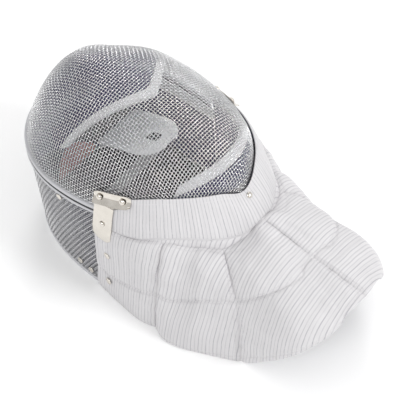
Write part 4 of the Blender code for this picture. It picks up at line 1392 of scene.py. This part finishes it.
def build_linings():
    columns = 72
    crown, chin = [], []
    for step in range(columns + 1):
        share = 2 * step / columns - 1
        across = CROWN_LINING_HALF_WIDTH * share
        along = CROWN_LINING_EDGE + CROWN_LINING_SWEEP * abs(share) ** 1.3
        crown.append(lining_path((across, along), 90 + (90 - CROWN_LINING_TURN) * share, True))
        across = CHIN_LINING_HALF_WIDTH * share
        along = CHIN_LINING_REACH - CHIN_REACH + CHIN_LINING_SWEEP * share * share
        turn = (-90 if share < 0 else 270) - CHIN_LINING_TURN * share
        chin.append(lining_path((across, along), turn, False))
    build_lining("crown", crown, 40)
    build_lining("chin", chin, 14)


def build_tongue():
    columns = 14
    count = 60
    values = np.array(TONGUE_LINE)
    rows = []
    for step in range(count + 1):
        position = (len(values) - 1) * step / count
        behind, up = (straight_ended(line, position) for line in values.T)
        along = CENTRE_SHIFT + RIM_WIDEST_BEHIND_FACE + RIM_CROWN_REACH * behind
        round_end = max((step / count - TONGUE_ROUND_START) / 0.12, 0.0)
        width = TONGUE_WIDTH * (1 - TONGUE_TIP_CUT * round_end ** 3)
        rows.append([Vector((width * (column / columns - 0.5), along, FACE_RISE * up))
                     for column in range(columns + 1)])
    # Painted shade: the slot is not cut through; a dark piece fills it for the shade seen through it
    slot = [[point.lerp(row[columns // 2], 0.8) for point in row]
            for row in rows[int(0.90 * count):int(0.95 * count) + 1]]
    made = shell_piece("tongue_slot_shade", slot, 3.6 * MM, DARK_VINYL_AND_SLOT_SHADE, rim=0.9)
    dress("back_tongue")
    root_end, middle_end = int(0.42 * count), int(0.70 * count)
    parts = (("tongue_root", 0, root_end, STEM), ("tongue_middle", root_end, middle_end, DARK_VINYL_AND_SLOT_SHADE),
             ("tongue_end", middle_end, count + 1, COVER))
    for name, first, last, finish in parts:
        piece = shell_piece(name, rows[first:last], 3.0 * MM, finish, rim=0.5)
        cloth_map(piece, rows[first:last])
        dress("back_tongue")


def build_strap():
    steps = 60
    rows = []
    for edge in np.linspace(-0.5, 0.5, 9):
        line = []
        for step in range(steps + 1):
            share = 2 * step / steps - 1
            height = STRAP_HEIGHT - STRAP_SAG * (1 - share * share)
            line.append(Vector((STRAP_HALF_LENGTH * share, CENTRE_SHIFT + STRAP_WIDTH * edge, height)))
        rows.append(line)
    made = shell_piece("neck_strap", rows, 2.4 * MM, WEBBING, rim=0.6)
    cloth_map(made, rows)
    dress("back_strap")


# Stage, light and camera

def stage_sheet(name, corners, finish):
    mesh = bpy.data.meshes.new(name)
    mesh.from_pydata(corners, [], [tuple(range(len(corners)))])
    mesh.materials.append(finish)
    sheet = bpy.data.objects.new(name, mesh)
    bpy.context.scene.collection.objects.link(sheet)


def build_stage():
    floor, _, shader = new_material("studio_floor", 0.9)
    shader.inputs["Base Color"].default_value = (0.96, 0.96, 0.96, 1.0)
    reach = 8.0
    corners = ((-reach, -reach, 0), (reach, -reach, 0), (reach, reach, 0), (-reach, reach, 0))
    stage_sheet("floor", corners, floor)
    # Painted shade: a near-black sheet on the floor inside the rim stands for the shade inside the mask,
    # where the pale floor would show through the wires
    dark = mottled_material("painted_shade_sheet", (0.006, 0.006, 0.007), (0.014, 0.014, 0.016), 0.95)
    inset = 1.5 * MM
    rim = plan_line(rim_line, CHEEK_LINE, 60)
    outline = [point - normal * inset for point, normal in zip(rim, plan_normals(rim))]
    under_bib = -60 * MM
    outline += [Vector((outline[-1].x, under_bib, 0.0)), Vector((outline[0].x, under_bib, 0.0))]
    stage_sheet("painted_shade_sheet", [(point.x, point.y, 0.2 * MM) for point in outline], dark)
    world = bpy.data.worlds.new("studio")
    world.use_nodes = True
    sky = world.node_tree.nodes["Background"]
    sky.inputs["Color"].default_value = (1.0, 1.0, 1.0, 1.0)
    sky.inputs["Strength"].default_value = 0.7
    bpy.context.scene.world = world
    for name, place, size, power in (
        ("key_light", (0.5, -1.8, 1.4), 0.8, 27.0),
        ("left_light", (-1.6, -0.2, 1.3), 0.8, 12.0),
        ("right_light", (1.3, 0.9, 1.3), 0.8, 11.0),
    ):
        light = bpy.data.lights.new(name, "AREA")
        light.energy = power
        light.size = size
        lamp = bpy.data.objects.new(name, light)
        lamp.location = place
        lamp.rotation_euler = (Vector((0, 0, 0.1)) - Vector(place)).to_track_quat("-Z", "Y").to_euler()
        bpy.context.scene.collection.objects.link(lamp)
    bpy.context.scene.view_settings.view_transform = "Standard"


def build_camera():
    to_camera = Vector((-0.4731, -0.3831, 0.7934))
    distance = 1.3
    aim = Vector((-0.0482, -0.0466, 0.168))
    data = bpy.data.cameras.new("camera")
    data.sensor_width = 36.0
    data.lens = 119.5
    data.clip_end = 50.0
    camera = bpy.data.objects.new("camera", data)
    camera.location = aim + to_camera.normalized() * distance
    camera.rotation_euler = (-to_camera).to_track_quat("-Z", "Y").to_euler()
    bpy.context.scene.collection.objects.link(camera)
    bpy.context.scene.camera = camera


build_camera()
build_stage()
build_face_wires()
build_side_wires()
build_side_lining()
build_bindings()
bib = build_bib()
stitches = build_stitches()
build_bracket("right", -1.0)
build_bracket("left", 1.0)
build_fasteners()
build_linings()
build_tongue()
build_strap()
